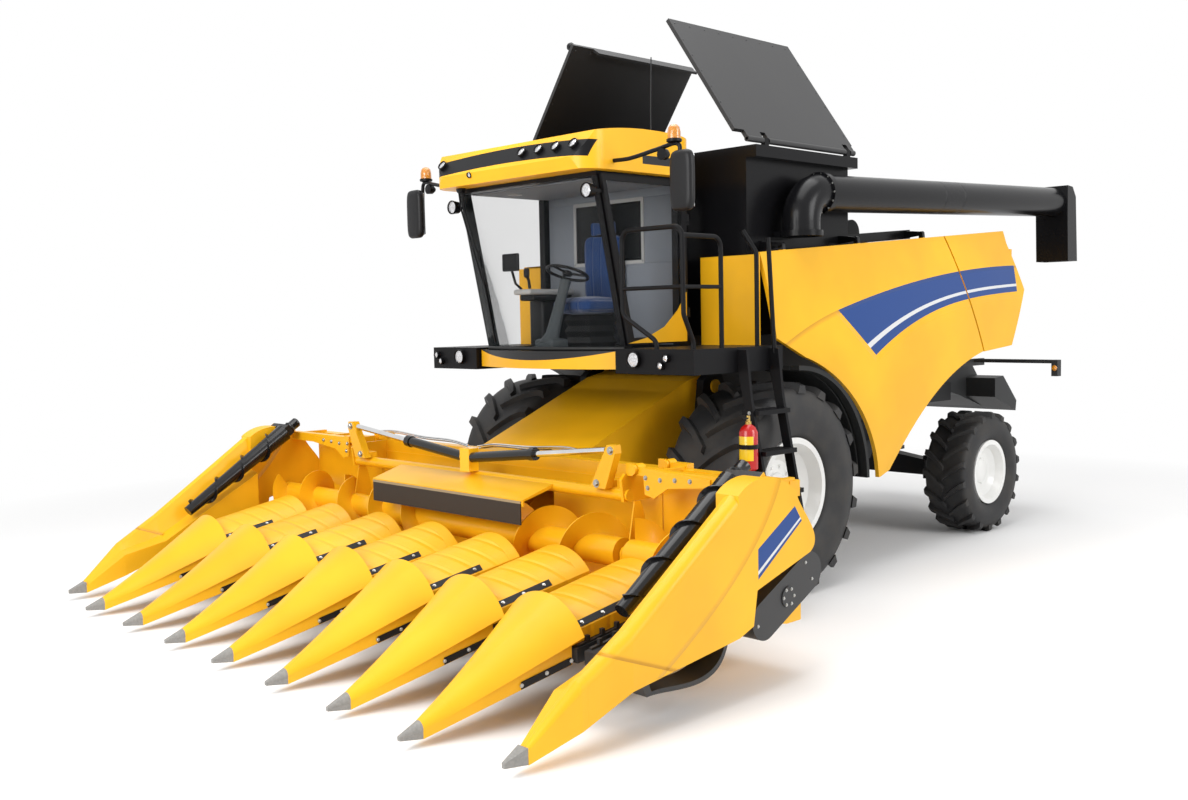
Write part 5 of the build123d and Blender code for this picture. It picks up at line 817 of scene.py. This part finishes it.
lever.tube([(-0.56, -1.71, 2.86), (-0.57, -1.66, 2.74), (-0.56, -1.6, 2.69)], 0.012)
lever.piece("screen_and_lever", dark_plastic)

# Mirrors: black capsule heads on bent arms from the roof, each arm with an amber beacon.
# The heads are moulded and rounded, with a flat mirror let into the back.
mirror_glass = bare_metal("mirror_glass", (0.85, 0.86, 0.87), 0.05)
HEAD_DEPTHS = ((-0.036, 0.6), (-0.032, 0.8), (-0.022, 0.94), (-0.005, 1.0), (0.018, 0.98), (0.032, 0.9))


def mirror_head(centre, wide, high):
    """Rings of a rounded head, from its domed front to its flat back."""
    rings = []
    for depth, share in HEAD_DEPTHS:
        inset = 0.5 * wide * (1.0 - share)
        ring = []
        for corner in circle(48):
            x, z = [copysign(abs(way) ** 0.4, way) for way in corner]
            ring.append(centre + Vector(((0.5 * wide - inset) * x, depth, (0.5 * high - inset) * z)))
        rings.append(ring)
    return rings


MIRROR_ARM = [(1.01, -1.95, 3.66), (1.2, -1.95, 3.66), (1.45, -1.91, 3.705)]
MIRROR_ARM += [(1.62, -1.88, 3.73), (1.65, -1.88, 3.62), (1.65, -1.88, 3.25)]
BEACON_FOOT = [(0.0, 0.03), (0.012, 0.06), (0.03, 0.06), (0.035, 0.05)]
BEACON_DOME = [(0.0, 0.052), (0.05, 0.051), (0.085, 0.044), (0.104, 0.026), (0.11, 0.0)]
ARM_LAMP = [(-0.05, 0.02), (-0.02, 0.042), (0.03, 0.045), (0.034, 0.0)]
arms = Form()
heads = Form()
mirrors_back = Form()
beacons = Form()
for _, sign in SIDES:
    arms.tube(flow([(sign * x, y, z) for x, y, z in MIRROR_ARM]), 0.017)
    arms.lathe((sign * 1.59, -1.88, 3.735), BEACON_FOOT)
    arms.lathe(track((sign * 1.5, -1.9, 3.66), AHEAD), ARM_LAMP, 24)
    heads.skin(mirror_head(Vector((sign * 1.71, -1.93, 3.44)), 0.225, 0.46))
    mirrors_back.block((sign * 1.71, -1.894, 3.44), (0.18, 0.006, 0.4), 0.002)
    beacons.lathe((sign * 1.59, -1.88, 3.77), BEACON_DOME)
arm_piece = arms.piece("mirror_arms", black_enamel)
heads.piece("mirror_heads", dark_plastic, sharp=60.0)
mirrors_back.piece("mirror_faces", mirror_glass)
beacons.piece("beacons", amber_lens)
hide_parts("mirrors")

# Walkway, handrails and ladder: black plate and bent tube, with raised studs on every flat tread.
# Bolted to the cab's beams, with the bolts showing on the ladder's cheeks.
STUD_PITCH = 0.05


def tread_studs(place):
    """Raised studs on faces that look up."""
    x, y, _ = place.parts()
    flat = normal_of(place).part(2) > 0.8
    return 0.004 * flat * (1.0 - (x.wave(STUD_PITCH) + y.wave(STUD_PITCH)).ramp(0.008, 0.016))


walk_black = enamel("walk_black", BLACK_ENAMEL, 0.4, dust=0.2, gloss=0.12, ridges=tread_studs)
dress(walk_black, "cab_platform", "ladder_rails")
RUNGS = (0.68, 1.0, 1.32, 1.64)
cheek_bolts = [((1.84 + 0.2 * (1.76 - z), -1.345, z), AHEAD) for z in RUNGS]
stamp("ladder_bolts", BOLT, 0.011, cheek_bolts, zinc)

# Fire extinguisher: a red bottle with a brass valve, strapped to the ladder's front cheek.
# Turned bottle, black strap and bracket; a plain yellow patch stands where its label goes.
BOTTLE = Vector((1.922, -1.43, 1.2))
BOTTLE_PROFILE = [(0.0, 0.06), (0.012, 0.074), (0.3, 0.074), (0.34, 0.055), (0.362, 0.025)]
VALVE = [(0.36, 0.024), (0.385, 0.024), (0.39, 0.016), (0.43, 0.014)]
STRAP = [(0.17, 0.075), (0.17, 0.079), (0.205, 0.079), (0.205, 0.075)]
PATCH_YELLOW = (0.75, 0.5, 0.01)


def bare_label(place, tone):
    """The plain yellow patch on the bottle's front."""
    front = normal_of(place).part(1) < -0.35
    return (front * place.part(2).between(BOTTLE.z + 0.08, BOTTLE.z + 0.27)).mix(tone, PATCH_YELLOW)


bottle_red = enamel("bottle_red", (0.5, 0.012, 0.01), 0.25, 0.3, gloss=0.35, paint=bare_label)
brass = bare_metal("brass", (0.62, 0.42, 0.13), 0.3)
bottle_piece = Form().lathe(BOTTLE, BOTTLE_PROFILE).piece("extinguisher_bottle", bottle_red)
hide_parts("extinguisher")
Form().lathe(BOTTLE, VALVE, 16).piece("extinguisher_valve", brass)
strap = Form().lathe(BOTTLE, STRAP, 32, False)
strap.block(BOTTLE + Vector((0.0, 0.075, 0.2)), (0.05, 0.03, 0.12), 0.004)
strap.block(BOTTLE + Vector((0.0, -0.03, 0.41)), (0.02, 0.1, 0.014), 0.005)
strap.piece("extinguisher_strap", black_enamel)

# Side panels and rear hood: large bowed mouldings with a plain blue band that narrows to the rear.
# Glossy yellow; the band's edges are curves along the machine, with a pale line along the lower one and
# painted shade under the fold.
BAND_BLUE = (0.004, 0.045, 0.21)
BAND_PALE = (0.62, 0.63, 0.64)
# Painted shade: a deeper yellow laid beside the folds and seams, where shade falls.
PAINTED_FOLD_SHADE = (0.5, 0.22, 0.003)
BAND_FRONT = Vector((0.0, 0.243, 2.442))
BAND_SLANT = 1.294
BAND_TAIL = 0.789
BAND_END = 3.62


def panel_lines(place):
    """Heights of the band's upper and lower edge and of the fold, and the way behind the band's front."""
    _, y, z = place.parts()
    after = y - BAND_FRONT.y
    tail = y - BAND_TAIL
    upper = BAND_FRONT.z + 0.236 * after - 0.0305 * after * after
    lower = 2.02 + 0.52 * tail - 0.165 * tail * tail + 0.0194 * tail * tail * tail
    before = y.maths("MINIMUM", after, 0.0)
    return upper, lower, upper - 0.1 * before * before, after - BAND_SLANT * (BAND_FRONT.z - z)


def panel_folds(place):
    """A fold that climbs from the front along the band's upper edge, and a trough for the band."""
    z = place.part(2)
    _, lower, fold, behind = panel_lines(place)
    over = (z - fold).ramp(-0.035, 0.0)
    trough = (z - lower).ramp(-0.07, -0.02) * behind.ramp(-0.08, -0.02)
    return 0.016 * over + 0.012 * (1.0 - trough) * (1.0 - over)


def painted_fold_shade(tone, over, depth, reach):
    """Painted shade along a fold, deepest at its edge and gone at a reach from it."""
    return (depth * (over > 0.0) * (1.0 - over.ramp(0.004, reach))).mix(tone, PAINTED_FOLD_SHADE)


def side_band(place, tone):
    """Painted shade under the fold, the black hinge lugs, and the band with its pale line on faces that look
    outwards.
    """
    x, y, z = place.parts()
    upper, lower, fold, behind = panel_lines(place)
    share = (z - lower) / (upper - lower)
    aside = (behind > 0.0) * (normal_of(place).part(0) * x > 0.7) * (y < BAND_END)
    # Painted shade in a narrow band just under the fold.
    tone = painted_fold_shade(tone, fold - z, 0.7, 0.05)
    tone = (z > 2.944 + 0.0764 * (y + 0.74)).mix(tone, BLACK_ENAMEL)
    tone = (aside * share.between(0.0, 1.0)).mix(tone, BAND_BLUE)
    return (aside * share.between(0.2, 0.3)).mix(tone, BAND_PALE)


banded_yellow = enamel("banded_yellow", YELLOW, 0.34, 0.1, gloss=0.3, paint=side_band, ridges=panel_folds)
dress(banded_yellow, "left_side_panel", "right_side_panel", "rear_hood")

# Feeder house and header frames: welded sheet and box beams, all sprayed yellow, with zinc bolts.
# A dark rubber flap with a pale edge strip hangs under the deflector.
dress(yellow_enamel, "feeder_house", "centre_frame", "left_wing_frame", "right_wing_frame")
dress(yellow_enamel, "centre_auger", "left_wing_auger", "right_wing_auger")


def flap_strip(place, tone):
    """The pale strip that clamps the flap's top edge."""
    return (place.part(2) > 1.032).mix(tone, (0.3, 0.24, 0.15))


dress(enamel("flap_rubber", (0.02, 0.014, 0.011), 0.6, paint=flap_strip), "mouth_flap")
LEVER_PINS = ((1.7, 1.46), (1.55, 1.21))
ARM_BOLTS = ((1.96, 1.2), (1.94, 1.27), (2.08, 1.265), (2.22, 1.275), (2.36, 1.28))
lever_bolts = [((sign * x, -2.74, z), AHEAD) for _, sign in SIDES for x, z in LEVER_PINS]
stamp("lever_bolts", BOLT, 0.022, lever_bolts, zinc, "header")
for side, sign in SIDES:
    arm_bolts = [((sign * x, -2.629, z), AHEAD) for x, z in ARM_BOLTS]
    stamp(f"{side}_arm_bolts", BOLT, 0.013, arm_bolts, zinc, f"{side}_wing")

# Fold cylinders and lift cylinders: black barrels with chromed rods.
# A yellow block joins the fold cylinders, and two bright pipes run along behind each of them.
chrome = bare_metal("chrome", (0.78, 0.78, 0.78), 0.1)
GLOSS_BLACK = (0.008, 0.008, 0.009)


def centre_block(place, tone):
    """The yellow block between the fold cylinders."""
    return (place.part(0).size() < 0.062).mix(tone, YELLOW)


gloss_black = enamel("gloss_black", GLOSS_BLACK, 0.2, coat=0.2, gloss=0.3)
dress(gloss_black, "left_lift_barrel", "right_lift_barrel")
dress(enamel("cylinder_black", GLOSS_BLACK, 0.2, coat=0.2, gloss=0.3, paint=centre_block), "fold_cylinders")
dress(chrome, "left_lift_rod", "right_lift_rod", "fold_rods")
PIPE = ((0.06, 0.0, 0.0), (0.3, 0.0, 0.03), (0.7, 0.0, 0.035), (1.1, 0.0, 0.06), (1.35, -0.02, 0.05))
pipes = Form()
for _, sign in SIDES:
    for y, z in ((-2.63, 1.36), (-2.652, 1.38)):
        pipes.tube(flow([(sign * out, y + along, z + rise) for out, along, rise in PIPE]), 0.007, 8)
pipes.piece("fold_pipes", chrome, "header")

# Snouts, hoods and end dividers: moulded yellow shells between the rows, the hoods with pressed arcs.
# A flared collar ends each snout, and black edge strips with bright bolts hold each shell's left side.
ROW_PITCH = 0.75
ROW_LINES = {"header": (-1.5, -0.75, 0.0, 0.75, 1.5), "left_wing": (2.25,), "right_wing": (-2.25,)}
SNOUT_TIP = -4.87
SNOUT_LONG = 0.92
HOOD_FRONT = -3.95
HOOD_REAR = -3.07
CONE_TOP = Vector((2.845, -2.78, 1.34))
CONE_WAY = Vector((0.0, 0.842, 0.5395))
LOBE_FRONT = -2.89
FAR_AWAY = 10.0


def divider_lines(place):
    """How far a place on an end divider lies above its nose seam, and ahead of its flank's crease."""
    x, y, z = place.parts()
    outside = x.size() > 2.95
    seam = z - 0.594 + 0.375 * (y + 4.35)
    crease = 2.243 * z - 0.659 * z * z - 4.4775 - y
    nose = outside * y.between(-4.36, -3.65)
    flank = outside * (z > 0.34)
    return seam + FAR_AWAY * (1.0 - nose), crease + FAR_AWAY * (1.0 - flank)


def hood_arcs(place):
    """Shallow arcs pressed across each hood, and the dividers' two steps."""
    x, y, _ = place.parts()
    local = (x + 0.5 * ROW_PITCH).wave(ROW_PITCH) - 0.5 * ROW_PITCH
    arc = (y - 1.3 * local * local).wave(0.17)
    seam, crease = divider_lines(place)
    steps = 0.012 * (1.0 - seam.ramp(0.0, 0.02)) + 0.012 * (1.0 - crease.ramp(0.0, 0.05))
    hood = y.between(HOOD_FRONT + 0.06, HOOD_REAR - 0.1) * (x.size() < 2.6)
    return 0.006 * arc.ramp(0.0, 0.03) * hood + steps


def divider_band(place, tone):
    """Painted shade beside the dividers' nose seam and flank crease, black auger brackets, and the plain blue
    band with a pale line.
    """
    x, y, z = place.parts()
    x = x.size()
    seam, crease = divider_lines(place)
    # Painted shade just above the nose seam and just ahead of the flank crease.
    tone = painted_fold_shade(tone, seam, 0.8, 0.035)
    tone = painted_fold_shade(tone, crease, 0.5, 0.08)
    along = CONE_WAY.y * (y - CONE_TOP.y) + CONE_WAY.z * (z - CONE_TOP.z)
    across = CONE_WAY.y * (z - CONE_TOP.z) - CONE_WAY.z * (y - CONE_TOP.y)
    bracket = x.between(2.78, 3.09) * along.between(0.0, 0.08) * (across.size() < 0.055)
    tone = bracket.mix(tone, BLACK_ENAMEL)
    behind = y - LOBE_FRONT
    edges = ((0.95, 0.584), (0.81, 0.6465), (0.785, 0.662), (0.757, 0.682))
    upper, lower, middle, last = [level + slope * behind for level, slope in edges]
    aside = (x > 3.13) * (behind > 0.0) * (y < 0.72 * (1.175 - z) - 2.503)
    tone = (aside * z.between(last, upper)).mix(tone, BAND_BLUE)
    return (aside * z.between(middle, lower)).mix(tone, BAND_PALE)


skins = {"paint": divider_band, "ridges": hood_arcs}
hood_yellow = enamel("hood_yellow", YELLOW, 0.42, 0.05, 0.12, gloss=0.35, **skins)
dress(hood_yellow, "centre_hoods", "left_wing_hoods", "right_wing_hoods")
strip_black = moulded("strip_black", (0.008, 0.008, 0.009), 0.45)


def bow_radius(half, rise):
    """The radius of an arc from its half width and its rise."""
    return (half * half + rise * rise) / (2 * rise)


def hood_side(y, out):
    """A place on a hood's arched top, out from its middle line, and the way that it faces."""
    share = (y - HOOD_FRONT) / (HOOD_REAR - HOOD_FRONT)
    skirt = 0.445 + 0.115 * share
    top = 0.64 + 0.16 * share
    bow = bow_radius(0.305, 0.6 * (top - skirt))
    spot = Vector((out, y, top - bow + sqrt(bow * bow - out * out)))
    return spot, Vector((out / bow, -0.15, 1.0)).normalized()


def snout_half(y):
    """How far back a place on a snout lies as a share of it, and the snout's half width there."""
    share = (y - SNOUT_TIP) / SNOUT_LONG
    return share, 0.045 + 0.26 * share


COLLAR_FRONT = -4.7
COLLAR_REAR = -3.9
COLLAR_FLARE = 0.055
COLLAR_WALL = 0.006
COLLAR_STEPS = 16
ARC_STEPS = 24


def collar_ring(line, y):
    """One section of the flared collar at a snout's rear end, a closed loop over the snout's arch."""
    share, half = snout_half(y)
    flare = COLLAR_FLARE * ((y - COLLAR_FRONT) / (COLLAR_REAR - COLLAR_FRONT)) ** 1.6
    rise = 0.06 + 0.126 * share
    bow = bow_radius(half, rise)
    middle = 0.15 + 0.49 * share - bow
    reach = atan2(half, bow - rise)
    turns = [reach * (2 * step / ARC_STEPS - 1.0) for step in range(ARC_STEPS + 1)]
    outer = [(turn, bow + flare + 0.001) for turn in turns]
    inner = [(turn, bow + flare - COLLAR_WALL) for turn in turns[::-1]]
    return [(line + r * sin(turn), y, middle + r * cos(turn)) for turn, r in outer + inner]


STRIP_LIFT = 0.006
SNOUT_STRIP = ((0.002, -0.024), (0.009, -0.024), (0.009, 0.02), (0.002, 0.02))
for body, lines in ROW_LINES.items():
    strips = Form()
    collars = Form()
    fasteners = []
    for line in lines:
        shift = Vector((line, 0.0, 0.0))
        span = (COLLAR_REAR - COLLAR_FRONT) / COLLAR_STEPS
        collars.skin([collar_ring(line, COLLAR_FRONT + span * step) for step in range(COLLAR_STEPS + 1)])
        upper = []
        for number in range(9):
            y = -3.9 + 0.06 * number
            low, facing = hood_side(y, 0.298)
            high, _ = hood_side(y, 0.262)
            lift = STRIP_LIFT * facing
            upper.append([shift + p for p in (low - lift, high - lift, high + lift, low + lift)])
            if number in (1, 4, 7):
                spot, facing = hood_side(y, 0.28)
                fasteners.append((shift + spot + STRIP_LIFT * facing, facing))
        lower = []
        for number in range(5):
            y = -4.28 + 0.08 * number
            share, half = snout_half(y)
            edge = shift + Vector((half, y, 0.08 + 0.28 * share))
            lower.append([edge + Vector((out, 0.0, rise)) for out, rise in SNOUT_STRIP])
            if number in (0, 2, 4):
                fasteners.append((edge + Vector((0.009, 0.0, 0.0)), Vector((0.96, -0.28, 0.0))))
        strips.skin(upper).skin(lower)
    strips.piece(f"{body}_edge_strips", strip_black, body)
    collars.piece(f"{body}_snout_collars", hood_yellow, body)
    stamp(f"{body}_strip_bolts", BOLT, 0.009, fasteners, zinc, body)

# Row units with cast tips, drive cases and skids: steel under the hoods and at the header's ends.
# Dark grey paint, light bare castings at the tips, and small bolts on the drive cases.
CAST_DARK = (0.16, 0.155, 0.145)
CAST_LIGHT = (0.3, 0.29, 0.27)
CASE_DISC = (3.136, -2.555, 0.585)
CASE_SPREAD = 0.055
CASE_BOLTS = ((3.128, -2.29, 0.66), (3.128, -2.87, 0.45), (3.128, -2.36, 0.78))


def row_paint(place, tone):
    """Bare castings at the tips."""
    cast = place.noise(60.0, 4.0).mix(CAST_DARK, CAST_LIGHT)
    return (place.part(1) < -4.6).mix(tone, cast)


row_grey = enamel("row_grey", (0.02, 0.02, 0.021), 0.45, paint=row_paint)
dress(row_grey, "centre_row_units", "left_wing_row_units", "right_wing_row_units")
for side, sign in SIDES:
    x, y, z = CASE_DISC
    spots = [(x, y + CASE_SPREAD * c, z + CASE_SPREAD * s) for c, s in circle(6)]
    case_bolts = [((sign * x, y, z), (sign, 0.0, 0.0)) for x, y, z in (*spots, *CASE_BOLTS)]
    stamp(f"{side}_case_bolts", BOLT, 0.008, case_bolts, zinc, f"{side}_wing")

# Cone augers: glossy black tapered tubes with a spiral rib, each driven by a motor at its top end.
# The motor is a turned housing on the divider's bearing block.
MOTOR = [(0.0, 0.056), (0.012, 0.062), (0.03, 0.05), (0.1, 0.05), (0.11, 0.042), (0.115, 0.0)]
dress(gloss_black, "left_cone_auger", "right_cone_auger")
for side, sign in SIDES:
    foot = Vector((sign * CONE_TOP.x, CONE_TOP.y, CONE_TOP.z)) + 0.067 * CONE_WAY
    Form().lathe(track(foot, CONE_WAY), MOTOR).piece(f"{side}_cone_motor", gloss_black, f"{side}_wing")

# Floor: one wide pale sheet that fades to plain white away from the machine.
# Only camera and mirror rays see the fade, so the machine's shadow stays on it.
FLOOR_REACH = 60.0
FADE_START = 6.0
FADE_END = 10.5
floor_mesh = bpy.data.meshes.new("floor")
floor_corners = [(x * FLOOR_REACH, y * FLOOR_REACH, 0.0) for x, y in ((-1, -1), (1, -1), (1, 1), (-1, 1))]
floor_mesh.from_pydata(floor_corners, [], [(0, 1, 2, 3)])
floor = add("floor", floor_mesh)
floor_pale, floor_shader, place = surface("floor_pale", Roughness=0.9, Base_Color=(0.9, 0.9, 0.9, 1.0))
reach = place.make("ShaderNodeVectorMath", {"operation": "LENGTH"}, {0: place}, "Value")
fade = reach.ramp(FADE_START, FADE_END) * (place.ray("Camera") + place.ray("Glossy"))
plain = Wire(floor_pale.node_tree, floor_shader.outputs[0])
white = place.make("ShaderNodeEmission", {}, {"Strength": 1.0})
blend = place.make("ShaderNodeMixShader", {}, {0: fade, 1: plain, 2: white})
place.drive(floor_pale.node_tree.nodes["Material Output"], Surface=blend)
floor_mesh.materials.append(floor_pale)

# Studio: an even white surround and three soft lamps.
# Camera, mirror and glass rays see plain white, and the rest get the surround's light.
SURROUND = 0.6
world = bpy.data.worlds.new("studio")
scene.world = world
world.use_nodes = True
sky = Wire(world.node_tree)
seen = (sky.ray("Camera") + sky.ray("Glossy") + sky.ray("Transmission")).ramp(0.0, 1.0)
strength = SURROUND + (1.0 - SURROUND) * seen
sky.drive(world.node_tree.nodes["Background"], Strength=strength, Color=(1.0, 1.0, 1.0, 1.0))


def softbox(name, place, target, size, power):
    """A square lamp that faces a point."""
    lamp = bpy.data.lights.new(name, "AREA")
    lamp.size = size
    lamp.energy = power
    holder = add(name, lamp)
    holder.location = place
    holder.rotation_euler = (Vector(target) - Vector(place)).to_track_quat("-Z", "Y").to_euler()


MIDDLE = (0.0, -1.0, 1.5)
softbox("overhead", (0.0, -1.0, 11.0), MIDDLE, 9.0, 850.0)
softbox("key", (2.0, -13.0, 6.0), MIDDLE, 6.0, 900.0)
softbox("side", (13.0, 2.0, 7.0), MIDDLE, 6.0, 800.0)

# Camera: where the photograph was taken from, found from the wheels and the rows.
CAMERA_PLACE = Vector((7.735, -8.742, 2.428))
CAMERA_TURN = radians(45.895)
CAMERA_TILT = radians(4.027)
CAMERA_ROLL = radians(-1.125)
FILM = 36.0
LENS = 36.0
camera_data = bpy.data.cameras.new("camera")
camera_data.lens = LENS
camera_data.sensor_width = FILM
camera_data.clip_end = 200.0
camera = add("camera", camera_data)
turned = Matrix.Rotation(CAMERA_TURN, 4, "Z") @ Matrix.Rotation(0.5 * pi - CAMERA_TILT, 4, "X")
camera.matrix_world = frame_at(CAMERA_PLACE) @ turned @ Matrix.Rotation(CAMERA_ROLL, 4, "Z")
scene.camera = camera
scene.view_settings.view_transform = "Standard"
